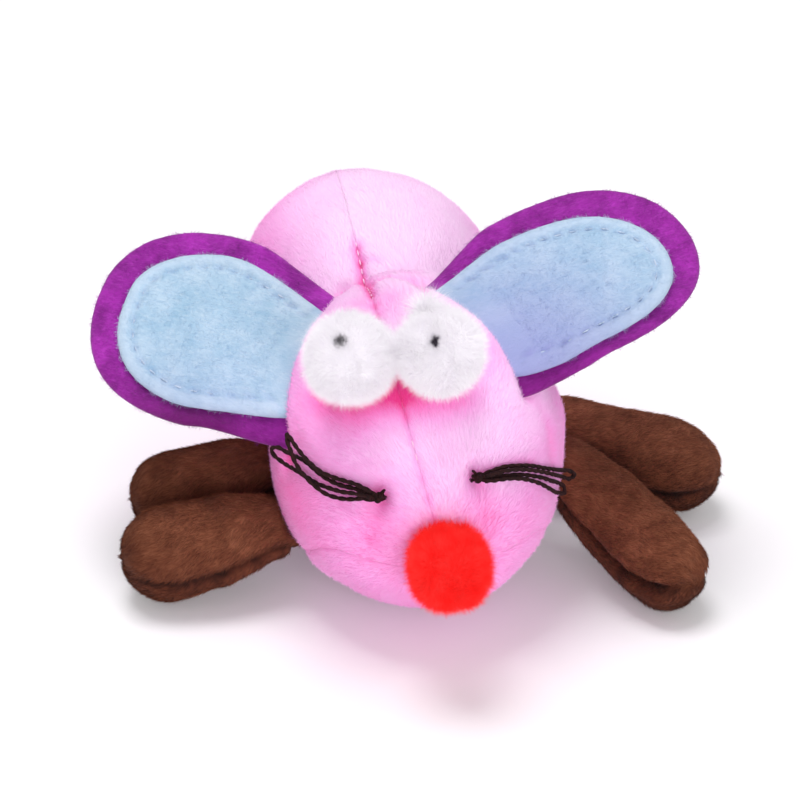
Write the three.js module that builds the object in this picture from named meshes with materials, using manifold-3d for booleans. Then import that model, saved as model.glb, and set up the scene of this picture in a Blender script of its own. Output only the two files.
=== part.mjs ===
// Stuffed toy mouse: a pink plush body with felt ears, pom-pom eyes and nose, thread whiskers and
// four loose brown legs. Millimetres, +Z up, the nose points to -Y, and left means the mouse's own
// left, +X. The origin lies on the floor under the middle of the whole toy.
import * as THREE from 'three';
import { mergeVertices } from 'three/addons/utils/BufferGeometryUtils.js';
import Module from 'manifold-3d';

const wasm = await Module();
wasm.setup();

// Body: stations along Y, heights of the two tips, and half sizes at the head, neck and rump
const snoutTipY = -15.5;
const headY = 14;
const neckY = 31;
const rumpY = 57;
const rearY = 81;
const snoutTipZ = 21.6;
const rearTipZ = 24;
const headHalfWidth = 24.3;
const neckHalfWidth = 22.2;
const rumpHalfWidth = 23;
const headHalfHeight = 26.5;
const neckHalfHeight = 24;
const rumpHalfHeight = 26.8;
const upperRoundness = 2;
const lowerRoundness = 2.25;

// The stuffed body lies rolled to its own right, so its back seam and its face are turned by this
const rollDegrees = 16;

// Depth of the flat on which the soft belly and feet lie
const floorFlat = 0.5;

// Fabric: pile with its backing, the seams between panels, and room between soft pieces
const plush = 1.4;
const seamGap = 0.3;
const seat = 0.3;
const bellySeamZ = 11.5;

// Catnip pouch in the pocket of the rump filling
const pouchHalfLength = 10;
const pouchHalfWidth = 8;
const pouchHalfHeight = 5;
const pouchY = 48;
const pouchZ = 25;
const pocketRoom = 0.5;

// Legs: the flat sewn root, the swollen foot, and the stretch that stands straight off the body
const legRootHalfWidth = 5.4;
const legRootHalfThick = 2;
const legHalfWidth = 7.9;
const legHalfHeight = 8.9;
const legOutset = 8;
const legPlush = 1.1;
const legFillRing = 3;
const legSwellShare = 0.52;
const legTuckShare = 0.95;
const legToeRoundness = 2.5;
const frontLeftLegY = 16;
const frontLeftLegLength = 37.5;
const frontRightLegY = 11.5;
const frontRightLegLength = 28.5;
const rearLeftLegY = 37;
const rearLeftLegLength = 39;
const rearRightLegY = 30;
const rearRightLegLength = 26;
const legs = [
  {
    name: 'front_left',
    sign: 1,
    station: frontLeftLegY,
    sweepDegrees: 64,
    length: frontLeftLegLength,
    girthShare: 0.88,
  },
  {
    name: 'front_right',
    sign: -1,
    station: frontRightLegY,
    sweepDegrees: 0,
    length: frontRightLegLength,
    girthShare: 1,
  },
  {
    name: 'rear_left',
    sign: 1,
    station: rearLeftLegY,
    sweepDegrees: 30,
    length: rearLeftLegLength,
    girthShare: 1,
  },
  {
    name: 'rear_right',
    sign: -1,
    station: rearRightLegY,
    sweepDegrees: 2,
    length: rearRightLegLength,
    girthShare: 0.97,
  },
];

// Ears: two felt layers on a hinge line sewn into a dart of the cover
const leftEarLength = 39.2;
const rightEarLength = 38.1;
const leftEarLowY = 1.5;
const leftEarHighY = 22;
const rightEarLowY = 6;
const rightEarHighY = 29;
const leftEarUpperHalf = 17.1;
const leftEarLowerHalf = 14.5;
const leftEarRootFlare = 3.8;
const leftEarTipHeight = 1.4;
const rightEarUpperHalf = 18.9;
const rightEarLowerHalf = 17.2;
const rightEarRootFlare = -1.6;
const rightEarTipHeight = 5.5;
const earMargin = 3.5;
const earFrontBack = 2.2;
const leftEarFrontDrop = 2.2;
const rightEarFrontDrop = 1.3;
const earBackThick = 1.6;
const earFrontThick = 1.4;
const earRootDepth = 3.3;
const dartRadius = 4.2;
const dartEnd = 2;
const earOutlineShares = {
  lowerStraight: 0.35,
  lowerBend: 0.74,
  tipBelow: 0.62,
  tipAbove: 0.6,
  upperBend: 0.8,
  widest: 0.54,
  shoulder: 0.3,
  nape: 0.12,
  napeHeight: 0.86,
  root: 0.72,
  inner: 0.45,
};
const ears = [
  {
    side: 'left',
    length: leftEarLength,
    lowStation: leftEarLowY,
    lowDegrees: 62,
    highStation: leftEarHighY,
    highDegrees: 19,
    outShares: new THREE.Vector3(0.96, 0.22, 0.13),
    upperHalf: leftEarUpperHalf,
    lowerHalf: leftEarLowerHalf,
    rootFlare: leftEarRootFlare,
    lowerBendShare: 0.86,
    tipHeight: leftEarTipHeight,
    frontDrop: leftEarFrontDrop,
  },
  {
    side: 'right',
    length: rightEarLength,
    lowStation: rightEarLowY,
    lowDegrees: 62,
    highStation: rightEarHighY,
    highDegrees: 12,
    outShares: new THREE.Vector3(-0.83, 0.54, 0.01),
    upperHalf: rightEarUpperHalf,
    lowerHalf: rightEarLowerHalf,
    rootFlare: rightEarRootFlare,
    lowerBendShare: 1,
    tipHeight: rightEarTipHeight,
    frontDrop: rightEarFrontDrop,
  },
];

// Pom-poms glued to the cover, and the pupils sunk in the eyes
const eyeRadius = 7;
const eyeSink = 1;
const leftEyeY = -0.6;
const rightEyeY = 1.1;
const eyes = [
  { side: 'left', station: leftEyeY, degrees: 18 },
  { side: 'right', station: rightEyeY, degrees: -12 },
];
const pupilRadius = 1.2;
const pupilShares = new THREE.Vector3(-0.28, -0.54, 0.79);
const noseRadius = 7.2;
const noseForward = 4.8;
const noseRise = 0.8;

// Whiskers: knots, the thread that ties them through the snout, and two loops on each side
const threadRadius = 0.36;
const threadRoom = 0.4;
const threadStep = 2;
const threadSides = 8;
const knotRadius = 1.1;
const knotLift = 0.4;
const leftKnotY = -12;
const rightKnotY = -11.4;
const knots = [
  { side: 'left', station: leftKnotY, degrees: 46 },
  { side: 'right', station: rightKnotY, degrees: -36.5 },
];
const whiskerRoutes = {
  right_upper: [
    [-11.0, -11.9, 32.2], [-12.0, -11.1, 32.5], [-13.3, -9.9, 32.7], [-14.7, -8.6, 32.6],
    [-16.4, -6.9, 32.4], [-18.1, -5.6, 32.7], [-19.9, -3.4, 33.5], [-21.4, -0.4, 34.4],
    [-22.2, 1.6, 35.1], [-22.6, 2.4, 35.3], [-22.7, 1.9, 34.7], [-22.4, 0.2, 33.8],
    [-21.8, -1.8, 32.4], [-20.8, -3.8, 31.4], [-19.3, -5.6, 30.3], [-17.6, -7.1, 29.5],
    [-15.8, -8.4, 29.4], [-14.0, -9.8, 29.9], [-12.3, -10.8, 30.5], [-11.0, -11.6, 30.6],
  ],
  right_lower: [
    [-10.9, -11.3, 31.5], [-12.1, -10.5, 31.6], [-13.4, -9.6, 31.7], [-14.9, -8.5, 31.6],
    [-16.4, -7.0, 31.5], [-18.1, -5.0, 31.8], [-20.3, -1.6, 32.5], [-22.5, 3.2, 31.4],
    [-24.1, 4.8, 31.6], [-24.9, 5.3, 31.0], [-24.6, 4.8, 30.2], [-23.3, 3.2, 29.6],
    [-21.8, 0.0, 30.1], [-20.3, -2.5, 30.2], [-18.7, -4.9, 30.2], [-17.0, -6.9, 30.4],
    [-15.3, -9.0, 30.9], [-13.6, -10.7, 31.5], [-12.3, -11.5, 31.5], [-11.1, -12.2, 31.5],
  ],
  left_upper: [
    [7.0, -12.0, 34.0], [8.5, -11.4, 34.1], [10.4, -10.5, 34.0], [12.7, -9.4, 33.3],
    [15.3, -7.9, 32.1], [17.8, -6.1, 30.3], [19.9, -4.1, 28.6], [22.4, 0.9, 25.1],
    [23.9, 2.2, 24.0], [24.8, 2.6, 23.0], [23.8, 1.6, 22.9], [22.1, 0.3, 24.3],
    [19.6, -5.5, 28.5], [17.6, -7.2, 30.2], [15.1, -8.9, 31.9], [12.5, -10.4, 33.2],
    [10.2, -11.6, 33.9], [8.4, -12.4, 34.1], [6.9, -13.0, 34.1],
  ],
  left_lower: [
    [7.1, -12.3, 33.2], [8.5, -11.8, 33.1], [10.5, -11.1, 32.7], [13.0, -9.9, 31.9],
    [15.4, -8.6, 30.6], [17.5, -7.2, 29.1], [18.8, -6.2, 27.9], [21.1, -1.3, 24.2],
    [22.4, -0.4, 22.7], [22.4, -0.8, 21.8], [21.0, -2.3, 22.9], [18.5, -7.6, 27.2],
    [16.8, -8.7, 29.0], [15.1, -9.7, 30.4], [12.8, -10.9, 31.8], [10.3, -12.0, 32.7],
    [8.4, -12.8, 33.1], [6.8, -13.2, 33.4],
  ],
};

// One overrun for every cut, and the facets of round forms
const overrun = 60;
const coverFacets = { sides: 32, steps: 8 };
const innerFacets = { sides: 24, steps: 6 };
const legFacets = { sides: 14, steps: 10 };
const earFacets = 8;
const ballSides = 16;
const beadSides = 10;

const finishes = {
  pink: { color: 0xf79ad8, roughness: 0.9, metalness: 0 },
  brown: { color: 0x5c3a2c, roughness: 0.9, metalness: 0 },
  purple: { color: 0x8c2a92, roughness: 0.95, metalness: 0 },
  blue: { color: 0xaac6e2, roughness: 0.95, metalness: 0 },
  white: { color: 0xf6f3f7, roughness: 1, metalness: 0 },
  red: { color: 0xfa2323, roughness: 1, metalness: 0 },
  black: { color: 0x1a1214, roughness: 0.8, metalness: 0 },
  fill: { color: 0xf2efe8, roughness: 1, metalness: 0 },
  cloth: { color: 0xe6dcc6, roughness: 0.95, metalness: 0 },
};

function point(x, y, z) {
  return new THREE.Vector3(x, y, z);
}

// Turns a closed geometry into a solid for cutting
function toSolid(geometry) {
  const bare = geometry.clone();
  bare.deleteAttribute('normal');
  bare.deleteAttribute('uv');
  const merged = mergeVertices(bare);
  return new wasm.Manifold(new wasm.Mesh({
    numProp: 3,
    vertProperties: Float32Array.from(merged.attributes.position.array),
    triVerts: Uint32Array.from(merged.index.array),
  }));
}

// Turns a cut solid back into a geometry
function toGeometry(solid) {
  const mesh = solid.getMesh();
  const geometry = new THREE.BufferGeometry();
  geometry.setAttribute('position', new THREE.BufferAttribute(Float32Array.from(mesh.vertProperties), 3));
  geometry.setIndex(new THREE.BufferAttribute(Uint32Array.from(mesh.triVerts), 1));
  geometry.computeVertexNormals();
  return geometry;
}

// Box between two corners
function block(low, high) {
  const size = high.clone().sub(low);
  const middle = low.clone().add(high).multiplyScalar(1 / 2);
  return toSolid(new THREE.BoxGeometry(size.x, size.y, size.z).translate(middle.x, middle.y, middle.z));
}

// All space over a height, and all space between two stations
function above(z) {
  return block(point(-overrun, snoutTipY - overrun, z), point(overrun, rearY + overrun, z + 2 * overrun));
}

function between(fromY, toY) {
  return block(point(-overrun, fromY, -overrun), point(overrun, toY, 2 * overrun));
}

// Round bar between two points
function bar(from, to, radius, sides) {
  const along = to.clone().sub(from);
  const turn = new THREE.Quaternion().setFromUnitVectors(point(0, 1, 0), along.clone().normalize());
  const middle = from.clone().add(to).multiplyScalar(1 / 2);
  const geometry = new THREE.CylinderGeometry(radius, radius, along.length(), sides);
  return toSolid(geometry.applyQuaternion(turn).translate(middle.x, middle.y, middle.z));
}

// Ball round a centre
function ball(centre, radius, sides) {
  const geometry = new THREE.SphereGeometry(radius, sides, Math.round(sides / Math.SQRT2));
  return toSolid(geometry.translate(centre.x, centre.y, centre.z));
}

// Skin over a row of rings with as many corners each; a ring of one corner is a pole
function loft(rings) {
  const corners = rings.flat();
  const index = [];
  let start = 0;
  for (let i = 0; i + 1 < rings.length; i += 1) {
    const count = Math.max(rings[i].length, rings[i + 1].length);
    const after = start + rings[i].length;
    for (let j = 0; j < count; j += 1) {
      const next = (j + 1) % count;
      if (rings[i].length > 1) {
        index.push(start + j, start + next, after + (rings[i + 1].length > 1 ? next : 0));
      }
      if (rings[i + 1].length > 1) {
        index.push(start + (rings[i].length > 1 ? j : 0), after + next, after + j);
      }
    }
    start = after;
  }
  const geometry = new THREE.BufferGeometry().setFromPoints(corners);
  geometry.setIndex(index);
  return toSolid(geometry);
}

// Rounded-square share of a section at an angle
function bulge(share, roundness) {
  return Math.sign(share) * Math.abs(share) ** (2 / roundness);
}

// Half width, half height and middle height of the body at one station, drawn in by an inset
function bodySection(y, inset) {
  const tip = snoutTipY + inset;
  const rear = rearY - inset;
  if (y < headY) {
    const share = (headY - y) / (headY - tip);
    const round = Math.sqrt(Math.max(0, 1 - share ** 2));
    return {
      width: (headHalfWidth - inset) * round,
      height: (headHalfHeight - inset) * round,
      middle: snoutTipZ + (headHalfHeight - floorFlat - snoutTipZ) * (1 - share ** 2),
    };
  }
  if (y > rumpY) {
    const share = (y - rumpY) / (rear - rumpY);
    const round = Math.sqrt(Math.max(0, 1 - share ** 2));
    return {
      width: (rumpHalfWidth - inset) * round,
      height: (rumpHalfHeight - inset) * round,
      middle: rearTipZ + (rumpHalfHeight - floorFlat - rearTipZ) * (1 - share ** 2),
    };
  }
  const wide = y < neckY ? headHalfWidth : rumpHalfWidth;
  const high = y < neckY ? headHalfHeight : rumpHalfHeight;
  const from = y < neckY ? headY : rumpY;
  const share = ((y - from) / (neckY - from)) ** 2;
  const height = high + (neckHalfHeight - high) * share;
  return {
    width: wide + (neckHalfWidth - wide) * share - inset,
    height: height - inset,
    middle: height - floorFlat,
  };
}

// Point of the body's surface at a station, an angle round from the top, and an inset
function bodyPoint(y, angle, inset) {
  const { width, height, middle } = bodySection(y, inset);
  const roundness = Math.cos(angle) < 0 ? lowerRoundness : upperRoundness;
  return point(
    width * bulge(Math.sin(angle), roundness),
    y,
    middle + height * bulge(Math.cos(angle), roundness),
  );
}

// Point on the rolled body: the angle is counted from the back seam, the lift straight off the surface
function onBody(y, degrees, lift) {
  const angle = THREE.MathUtils.degToRad(degrees - rollDegrees);
  const small = seat / overrun;
  const at = bodyPoint(y, angle, 0);
  const lengthwise = bodyPoint(y + small, angle, 0).sub(at);
  const crosswise = bodyPoint(y, angle + small, 0).sub(at);
  const normal = crosswise.cross(lengthwise).normalize();
  return at.addScaledVector(normal, lift);
}

function bodyRing(y, inset, sides) {
  return Array.from({ length: sides }, (_, j) => bodyPoint(y, (2 * Math.PI * j) / sides, inset));
}

// Hinge line of each ear, from low in front to high behind, just touching the swell of the cover
for (const ear of ears) {
  const sign = ear.side === 'left' ? 1 : -1;
  const low = onBody(ear.lowStation, sign * ear.lowDegrees, 0);
  const high = onBody(ear.highStation, sign * ear.highDegrees, 0);
  ear.middle = onBody(
    (ear.lowStation + ear.highStation) / 2,
    (sign * (ear.lowDegrees + ear.highDegrees)) / 2,
    0,
  );
  ear.half = low.distanceTo(high) / 2;
  ear.along = high.clone().sub(low).normalize();
  ear.out = ear.outShares.clone().normalize();
  ear.up = ear.out.clone().cross(ear.along).multiplyScalar(sign).normalize();
}

// Whole body drawn in by an inset, with the trough of each ear's dart
function bodyForm(inset, facets) {
  const { sides, steps } = facets;
  const tip = snoutTipY + inset;
  const rear = rearY - inset;
  const rings = [[point(0, tip, snoutTipZ)]];
  for (let i = 1; i < steps; i += 1) {
    rings.push(bodyRing(headY - (headY - tip) * Math.cos((Math.PI * i) / steps / 2), inset, sides));
  }
  for (let i = 0; i < steps; i += 2) {
    rings.push(bodyRing(headY + ((neckY - headY) * i) / steps, inset, sides));
  }
  for (let i = 0; i < steps; i += 2) {
    rings.push(bodyRing(neckY + ((rumpY - neckY) * i) / steps, inset, sides));
  }
  for (let i = 0; i < steps; i += 1) {
    rings.push(bodyRing(rumpY + (rear - rumpY) * Math.sin((Math.PI * i) / steps / 2), inset, sides));
  }
  rings.push([point(0, rear, rearTipZ)]);
  let form = loft(rings);
  for (const ear of ears) {
    const reach = ear.along.clone().multiplyScalar(ear.half + dartEnd);
    const from = ear.middle.clone().sub(reach);
    const to = ear.middle.clone().add(reach);
    form = form.subtract(bar(from, to, dartRadius + inset, ballSides));
  }
  return form;
}

const mouse = new THREE.Group();

function addPiece(name, solid, finish) {
  const mesh = new THREE.Mesh(toGeometry(solid), new THREE.MeshStandardMaterial(finishes[finish]));
  mesh.name = name;
  mouse.add(mesh);
}

// Holes for the whisker knots and for the thread between them
const [knotLeft, knotRight] = knots.map((knot) => onBody(knot.station, knot.degrees, knotLift));
const threadTunnel = bar(knotLeft, knotRight, threadRadius + threadRoom, ballSides);
const knotHoles = ball(knotLeft, knotRadius + seat, beadSides)
  .add(ball(knotRight, knotRadius + seat, beadSides));

// Cover: two side panels that meet in the back seam, and the belly panel under them
const outside = bodyForm(0, coverFacets).intersect(above(0)).subtract(knotHoles);
const cover = outside.subtract(bodyForm(plush, innerFacets).intersect(above(plush))).subtract(threadTunnel);
const roll = THREE.MathUtils.degToRad(rollDegrees);
const seamTurn = new THREE.Matrix4().makeRotationY(-roll);
const bodyAxisZ = headHalfHeight - floorFlat;
for (const side of ['left', 'right']) {
  const sign = side === 'left' ? 1 : -1;
  const half = new THREE.BoxGeometry(2 * overrun, 4 * overrun, 4 * overrun);
  half.translate(sign * (overrun + seamGap / 2), 0, 0).applyMatrix4(seamTurn).translate(0, 0, bodyAxisZ);
  const panel = cover.intersect(toSolid(half)).intersect(above(bellySeamZ + seamGap / 2));
  addPiece(`side_panel_${side}`, panel, 'pink');
}
addPiece('belly_panel', cover.subtract(above(bellySeamZ - seamGap / 2)), 'pink');

// Fibre filling of head and rump, and the catnip pouch in a pocket that opens towards the neck
const filling = bodyForm(plush + seat, innerFacets).intersect(above(plush + seat)).subtract(threadTunnel);
addPiece('head_filling', filling.intersect(between(snoutTipY, neckY - seat / 2)), 'fill');
const pocketReach = pouchY + pouchHalfLength + pocketRoom - neckY + overrun;
const pocket = new THREE.CylinderGeometry(1, 1, pocketReach, ballSides)
  .scale(pouchHalfWidth + pocketRoom, 1, pouchHalfHeight + pocketRoom)
  .translate(0, pouchY + pouchHalfLength + pocketRoom - pocketReach / 2, pouchZ);
addPiece(
  'rump_filling',
  filling.intersect(between(neckY + seat / 2, rearY)).subtract(toSolid(pocket)),
  'fill',
);
const pouch = new THREE.SphereGeometry(1, ballSides, beadSides)
  .scale(pouchHalfWidth, pouchHalfLength, pouchHalfHeight)
  .translate(0, pouchY, pouchZ);
addPiece('catnip_pouch', toSolid(pouch), 'cloth');

// Room that every piece outside the cover leaves round it
const coverRoom = bodyForm(-seat, coverFacets);

// Pom-pom eyes and nose, seated on the cover, and the pupils in their dimples
const pupilWay = pupilShares.clone().normalize();
for (const eye of eyes) {
  const centre = onBody(eye.station, eye.degrees, eyeRadius - eyeSink);
  const pupil = centre.clone().addScaledVector(pupilWay, eyeRadius);
  const dimple = ball(pupil, pupilRadius + seat, beadSides);
  const pompom = ball(centre, eyeRadius, ballSides).subtract(coverRoom).subtract(dimple);
  addPiece(`eye_pompom_${eye.side}`, pompom, 'white');
  addPiece(`pupil_${eye.side}`, ball(pupil, pupilRadius, beadSides), 'black');
}
const noseMiddle = point(0, snoutTipY - noseForward, snoutTipZ + noseRise);
addPiece('nose_pompom', ball(noseMiddle, noseRadius, ballSides).subtract(coverRoom), 'red');

// Whisker knots, the thread through the snout, and the whisker loops
addPiece('whisker_knot_left', ball(knotLeft, knotRadius, beadSides), 'black');
addPiece('whisker_knot_right', ball(knotRight, knotRadius, beadSides), 'black');
const across = knotRight.clone().sub(knotLeft).normalize();
const threadInset = knotRadius + seat;
addPiece(
  'whisker_tie_thread',
  bar(
    knotLeft.clone().addScaledVector(across, threadInset),
    knotRight.clone().addScaledVector(across, -threadInset),
    threadRadius,
    threadSides,
  ),
  'black',
);
const threadSection = new THREE.Shape(
  Array.from({ length: threadSides }, (_, j) => new THREE.Vector2(
    threadRadius * Math.cos((2 * Math.PI * j) / threadSides),
    threadRadius * Math.sin((2 * Math.PI * j) / threadSides),
  )),
);
for (const [name, route] of Object.entries(whiskerRoutes)) {
  const path = new THREE.CatmullRomCurve3(route.map((at) => point(...at)), false, 'centripetal');
  const steps = Math.round(path.getLength() / threadStep);
  const tube = new THREE.ExtrudeGeometry(threadSection, { steps, extrudePath: path });
  addPiece(`whisker_${name}`, toSolid(tube), 'black');
}

// One felt layer of an ear: its outline runs from the lower root corner round the tip to the upper one
function earLayer(ear, shrink, base, thick, back, drop) {
  const length = ear.length - shrink;
  const upper = ear.upperHalf - shrink;
  const lower = ear.lowerHalf - shrink;
  const tip = ear.tipHeight;
  const inner = 2 * dartRadius;
  const share = earOutlineShares;
  const outline = new THREE.Shape();
  outline.moveTo(-inner, -lower - ear.rootFlare);
  outline.lineTo(share.lowerStraight * length, -lower);
  outline.bezierCurveTo(
    share.lowerBend * length,
    -lower * ear.lowerBendShare,
    length,
    -share.tipBelow * lower,
    length,
    tip,
  );
  outline.bezierCurveTo(
    length,
    tip + share.tipAbove * (upper - tip),
    share.upperBend * length,
    upper,
    share.widest * length,
    upper,
  );
  outline.bezierCurveTo(
    share.shoulder * length,
    upper,
    share.nape * length,
    share.napeHeight * upper,
    0,
    share.root * upper,
  );
  outline.lineTo(-inner, share.inner * upper);
  outline.closePath();
  const felt = new THREE.ExtrudeGeometry(outline, {
    depth: thick,
    bevelEnabled: false,
    curveSegments: earFacets,
  });
  const cross = ear.up.clone().cross(ear.out);
  const frame = new THREE.Matrix4().makeBasis(ear.out, cross, ear.up).setPosition(ear.middle);
  const mirror = cross.dot(ear.along) < 0 ? -1 : 1;
  felt.translate(-back, -drop, base);
  const solid = toSolid(felt);
  const placed = mirror < 0 ? solid.mirror([0, 1, 0]) : solid;
  return placed.transform(frame.toArray());
}

for (const ear of ears) {
  const outward = ear.out.clone().addScaledVector(ear.along, -ear.out.dot(ear.along)).normalize();
  const frame = new THREE.Matrix4()
    .makeBasis(outward, ear.along, outward.clone().cross(ear.along))
    .setPosition(ear.middle);
  const beyondRoot = toSolid(
    new THREE.BoxGeometry(2 * overrun, 2 * overrun, 2 * overrun).translate(overrun - earRootDepth, 0, 0),
  ).transform(frame.toArray());
  const base = -(earBackThick + seat + earFrontThick) / 2;
  const back = earLayer(ear, 0, base, earBackThick, 0, 0);
  const frontBase = base + earBackThick + seat;
  const front = earLayer(ear, earMargin, frontBase, earFrontThick, earFrontBack, ear.frontDrop);
  addPiece(`ear_back_${ear.side}`, back.intersect(beyondRoot), 'purple');
  addPiece(`ear_front_${ear.side}`, front.intersect(beyondRoot), 'blue');
}

// Half width of the body at the belly seam
function seamHalfWidth(y) {
  const { width, height, middle } = bodySection(y, 0);
  const drop = (middle - bellySeamZ) / height;
  return width * (1 - drop ** lowerRoundness) ** (1 / lowerRoundness);
}

// How far out a leg's sewn root begins, clear of the body over the root's whole width
function rootReach(leg) {
  const { station } = leg;
  const stations = [station - legRootHalfWidth, station, station + legRootHalfWidth];
  return Math.max(...stations.map(seamHalfWidth)) + seat;
}

// Middle of a leg's sewn root, where it hinges
function legHinge(leg) {
  return point(leg.sign * (rootReach(leg) + legRootHalfThick), leg.station, bellySeamZ);
}

// One leg drawn in by an inset along a path that bends as it leaves; it can begin some rings further out
function legForm(leg, inset, start, firstRing) {
  const root = new THREE.Vector2(leg.sign * rootReach(leg), leg.station);
  const sweep = THREE.MathUtils.degToRad(leg.sweepDegrees);
  const bend = new THREE.Vector2(root.x + leg.sign * legOutset, root.y);
  const away = new THREE.Vector2(leg.sign * Math.cos(sweep), -Math.sin(sweep));
  const foot = bend.clone().addScaledVector(away, leg.length - legOutset);
  const path = new THREE.QuadraticBezierCurve(root, bend, foot);
  const fullWidth = legHalfWidth * leg.girthShare;
  const fullHeight = legHalfHeight * leg.girthShare;
  const capStart = leg.length - fullHeight;
  const end = leg.length - inset;
  const rings = [];
  const { sides, steps } = legFacets;
  for (let i = firstRing; i <= steps; i += 1) {
    const along = start + ((end - start) * (1 - Math.cos((Math.PI * i) / steps))) / 2;
    const share = along / leg.length;
    const grow = THREE.MathUtils.smoothstep(share, 0, legSwellShare);
    const past = Math.max(0, along - capStart) / (end - capStart);
    const cap = Math.max(0, 1 - past ** legToeRoundness) ** (1 / legToeRoundness);
    const shy = Math.min(1, Math.max(0, along) / legRootHalfThick);
    const tuck = inset > 0 ? 1 : Math.sqrt(1 - legTuckShare * (1 - shy) ** 2);
    const wide = (legRootHalfWidth + (fullWidth - legRootHalfWidth) * grow - inset) * cap;
    const high = (legRootHalfThick + (fullHeight - legRootHalfThick) * grow - inset) * cap * tuck;
    const at = path.getPoint(share);
    const heading = path.getTangent(Math.max(0, share));
    const z = bellySeamZ + (fullHeight - floorFlat - bellySeamZ) * grow;
    const middle = point(at.x, at.y, z);
    const ring = Array.from({ length: sides }, (_, j) => {
      const angle = (2 * Math.PI * j) / sides;
      const sideways = wide * Math.cos(angle);
      return point(at.x - heading.y * sideways, at.y + heading.x * sideways, z + high * Math.sin(angle));
    });
    if (i === firstRing) rings.push([middle]);
    rings.push(i < steps ? ring : [middle]);
  }
  return loft(rings);
}

// Legs: a plush skin open at its sewn root, and its own filling
for (const leg of legs) {
  const hollow = legForm(leg, legPlush, -legPlush, 0).intersect(above(legPlush));
  const skin = legForm(leg, 0, 0, 0).intersect(above(0)).subtract(hollow).subtract(coverRoom);
  const within = legPlush + seat;
  const fill = legForm(leg, within, -within, legFillRing).intersect(above(within));
  addPiece(`leg_skin_${leg.name}`, skin, 'brown');
  addPiece(`leg_filling_${leg.name}`, fill, 'fill');
}

// Hinge lines: an ear swings about its sewn root, a leg about its root in the belly seam
mouse.userData.hinges = [
  ...ears.map((ear) => ({ name: `ear_${ear.side}`, at: ear.middle, along: ear.along })),
  ...legs.map((leg) => ({ name: `leg_${leg.name}`, at: legHinge(leg), along: point(0, 1, 0) })),
];

// The whole toy, moved so that the origin lies under its middle
const box = new THREE.Box3().setFromObject(mouse);
const middle = box.getCenter(point(0, 0, 0));
mouse.position.set(-middle.x, -middle.y, 0);
const toy = new THREE.Group();
toy.add(mouse);
toy.updateMatrixWorld(true);

export default toy;
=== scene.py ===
# A cat's toy mouse, stuffed with fibre and a pouch of catnip: a pink plush body that lies rolled a
# little on its right side, ears of two felt layers, pom-pom eyes and nose, thread whiskers and four
# loose legs of brown plush. Shapes are worked out in millimetres, nose towards -Y, then placed.
import math

import bpy
import numpy as np
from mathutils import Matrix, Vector, noise


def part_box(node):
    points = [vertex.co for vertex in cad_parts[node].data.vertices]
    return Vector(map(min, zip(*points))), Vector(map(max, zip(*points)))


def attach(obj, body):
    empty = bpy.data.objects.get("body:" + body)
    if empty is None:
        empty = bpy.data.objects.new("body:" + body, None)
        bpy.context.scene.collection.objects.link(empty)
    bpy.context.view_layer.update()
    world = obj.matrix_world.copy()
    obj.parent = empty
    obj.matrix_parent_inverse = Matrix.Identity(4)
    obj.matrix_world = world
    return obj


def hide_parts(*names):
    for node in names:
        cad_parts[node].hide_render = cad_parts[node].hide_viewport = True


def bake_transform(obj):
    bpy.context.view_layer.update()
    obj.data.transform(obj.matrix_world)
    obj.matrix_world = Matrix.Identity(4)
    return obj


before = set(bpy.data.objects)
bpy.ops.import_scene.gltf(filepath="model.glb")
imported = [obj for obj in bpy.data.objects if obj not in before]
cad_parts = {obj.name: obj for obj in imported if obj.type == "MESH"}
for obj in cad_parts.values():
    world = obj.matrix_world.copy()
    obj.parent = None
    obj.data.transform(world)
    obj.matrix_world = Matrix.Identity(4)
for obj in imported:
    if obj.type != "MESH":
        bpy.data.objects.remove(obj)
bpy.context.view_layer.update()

# The toy's own frame: the body's middle plane is X = 0 and its floor is Z = 0. The nose pom-pom gives
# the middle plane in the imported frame, and the rearmost point of the two side panels gives Y.
mm = 0.001
snout_y, head_y, neck_y, rump_y, rear_y = -15.5, 14.0, 31.0, 57.0, 81.0
nose_low, nose_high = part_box("nose_pompom")
panel_rear = max(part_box(f"side_panel_{side}")[1][1] for side in ("left", "right"))
toy_origin = np.array([(nose_low[0] + nose_high[0]) / 2, panel_rear - rear_y * mm, 0.0])


def place(points):
    return np.asarray(points, float) * mm + toy_origin


# Studio: a white table that runs out of view, a large soft lamp above and a little to the left, a
# weaker one in front, and an even white room. The camera looks down on the face from its right.
aim = Vector(place((0, 12, 22)))
camera_azimuth, camera_elevation = math.radians(-9.3), math.radians(32)
camera_distance = 0.45
camera_lens, camera_sensor, camera_nearest = 121.5, 36, 0.02
look_left, look_up = 2.83 * mm, 10.33 * mm
room_level = 0.48
table_half, table_glow = 3.0, 0.1
back = Vector((
    math.sin(camera_azimuth) * math.cos(camera_elevation),
    -math.cos(camera_azimuth) * math.cos(camera_elevation),
    math.sin(camera_elevation),
))
right = Vector((math.cos(camera_azimuth), math.sin(camera_azimuth), 0))
up = back.cross(right)
camera = bpy.data.objects.new("camera", bpy.data.cameras.new("camera"))
camera.data.lens = camera_lens
camera.data.sensor_width = camera_sensor
camera.data.clip_start = camera_nearest
camera.location = aim + back * camera_distance
looked_at = aim - right * look_left + up * look_up
camera.rotation_mode = "QUATERNION"
camera.rotation_quaternion = (looked_at - camera.location).to_track_quat("-Z", "Y")
bpy.context.scene.collection.objects.link(camera)
bpy.context.scene.camera = camera
bpy.context.scene.view_settings.view_transform = "Standard"


def colour(red, green, blue):
    """Linear colour of a plain 0-255 one."""
    shares = [level / 255 for level in (red, green, blue)]
    return [((s + 0.055) / 1.055) ** 2.4 if s > 10 / 255 else s / 12.92 for s in shares] + [1]


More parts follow.
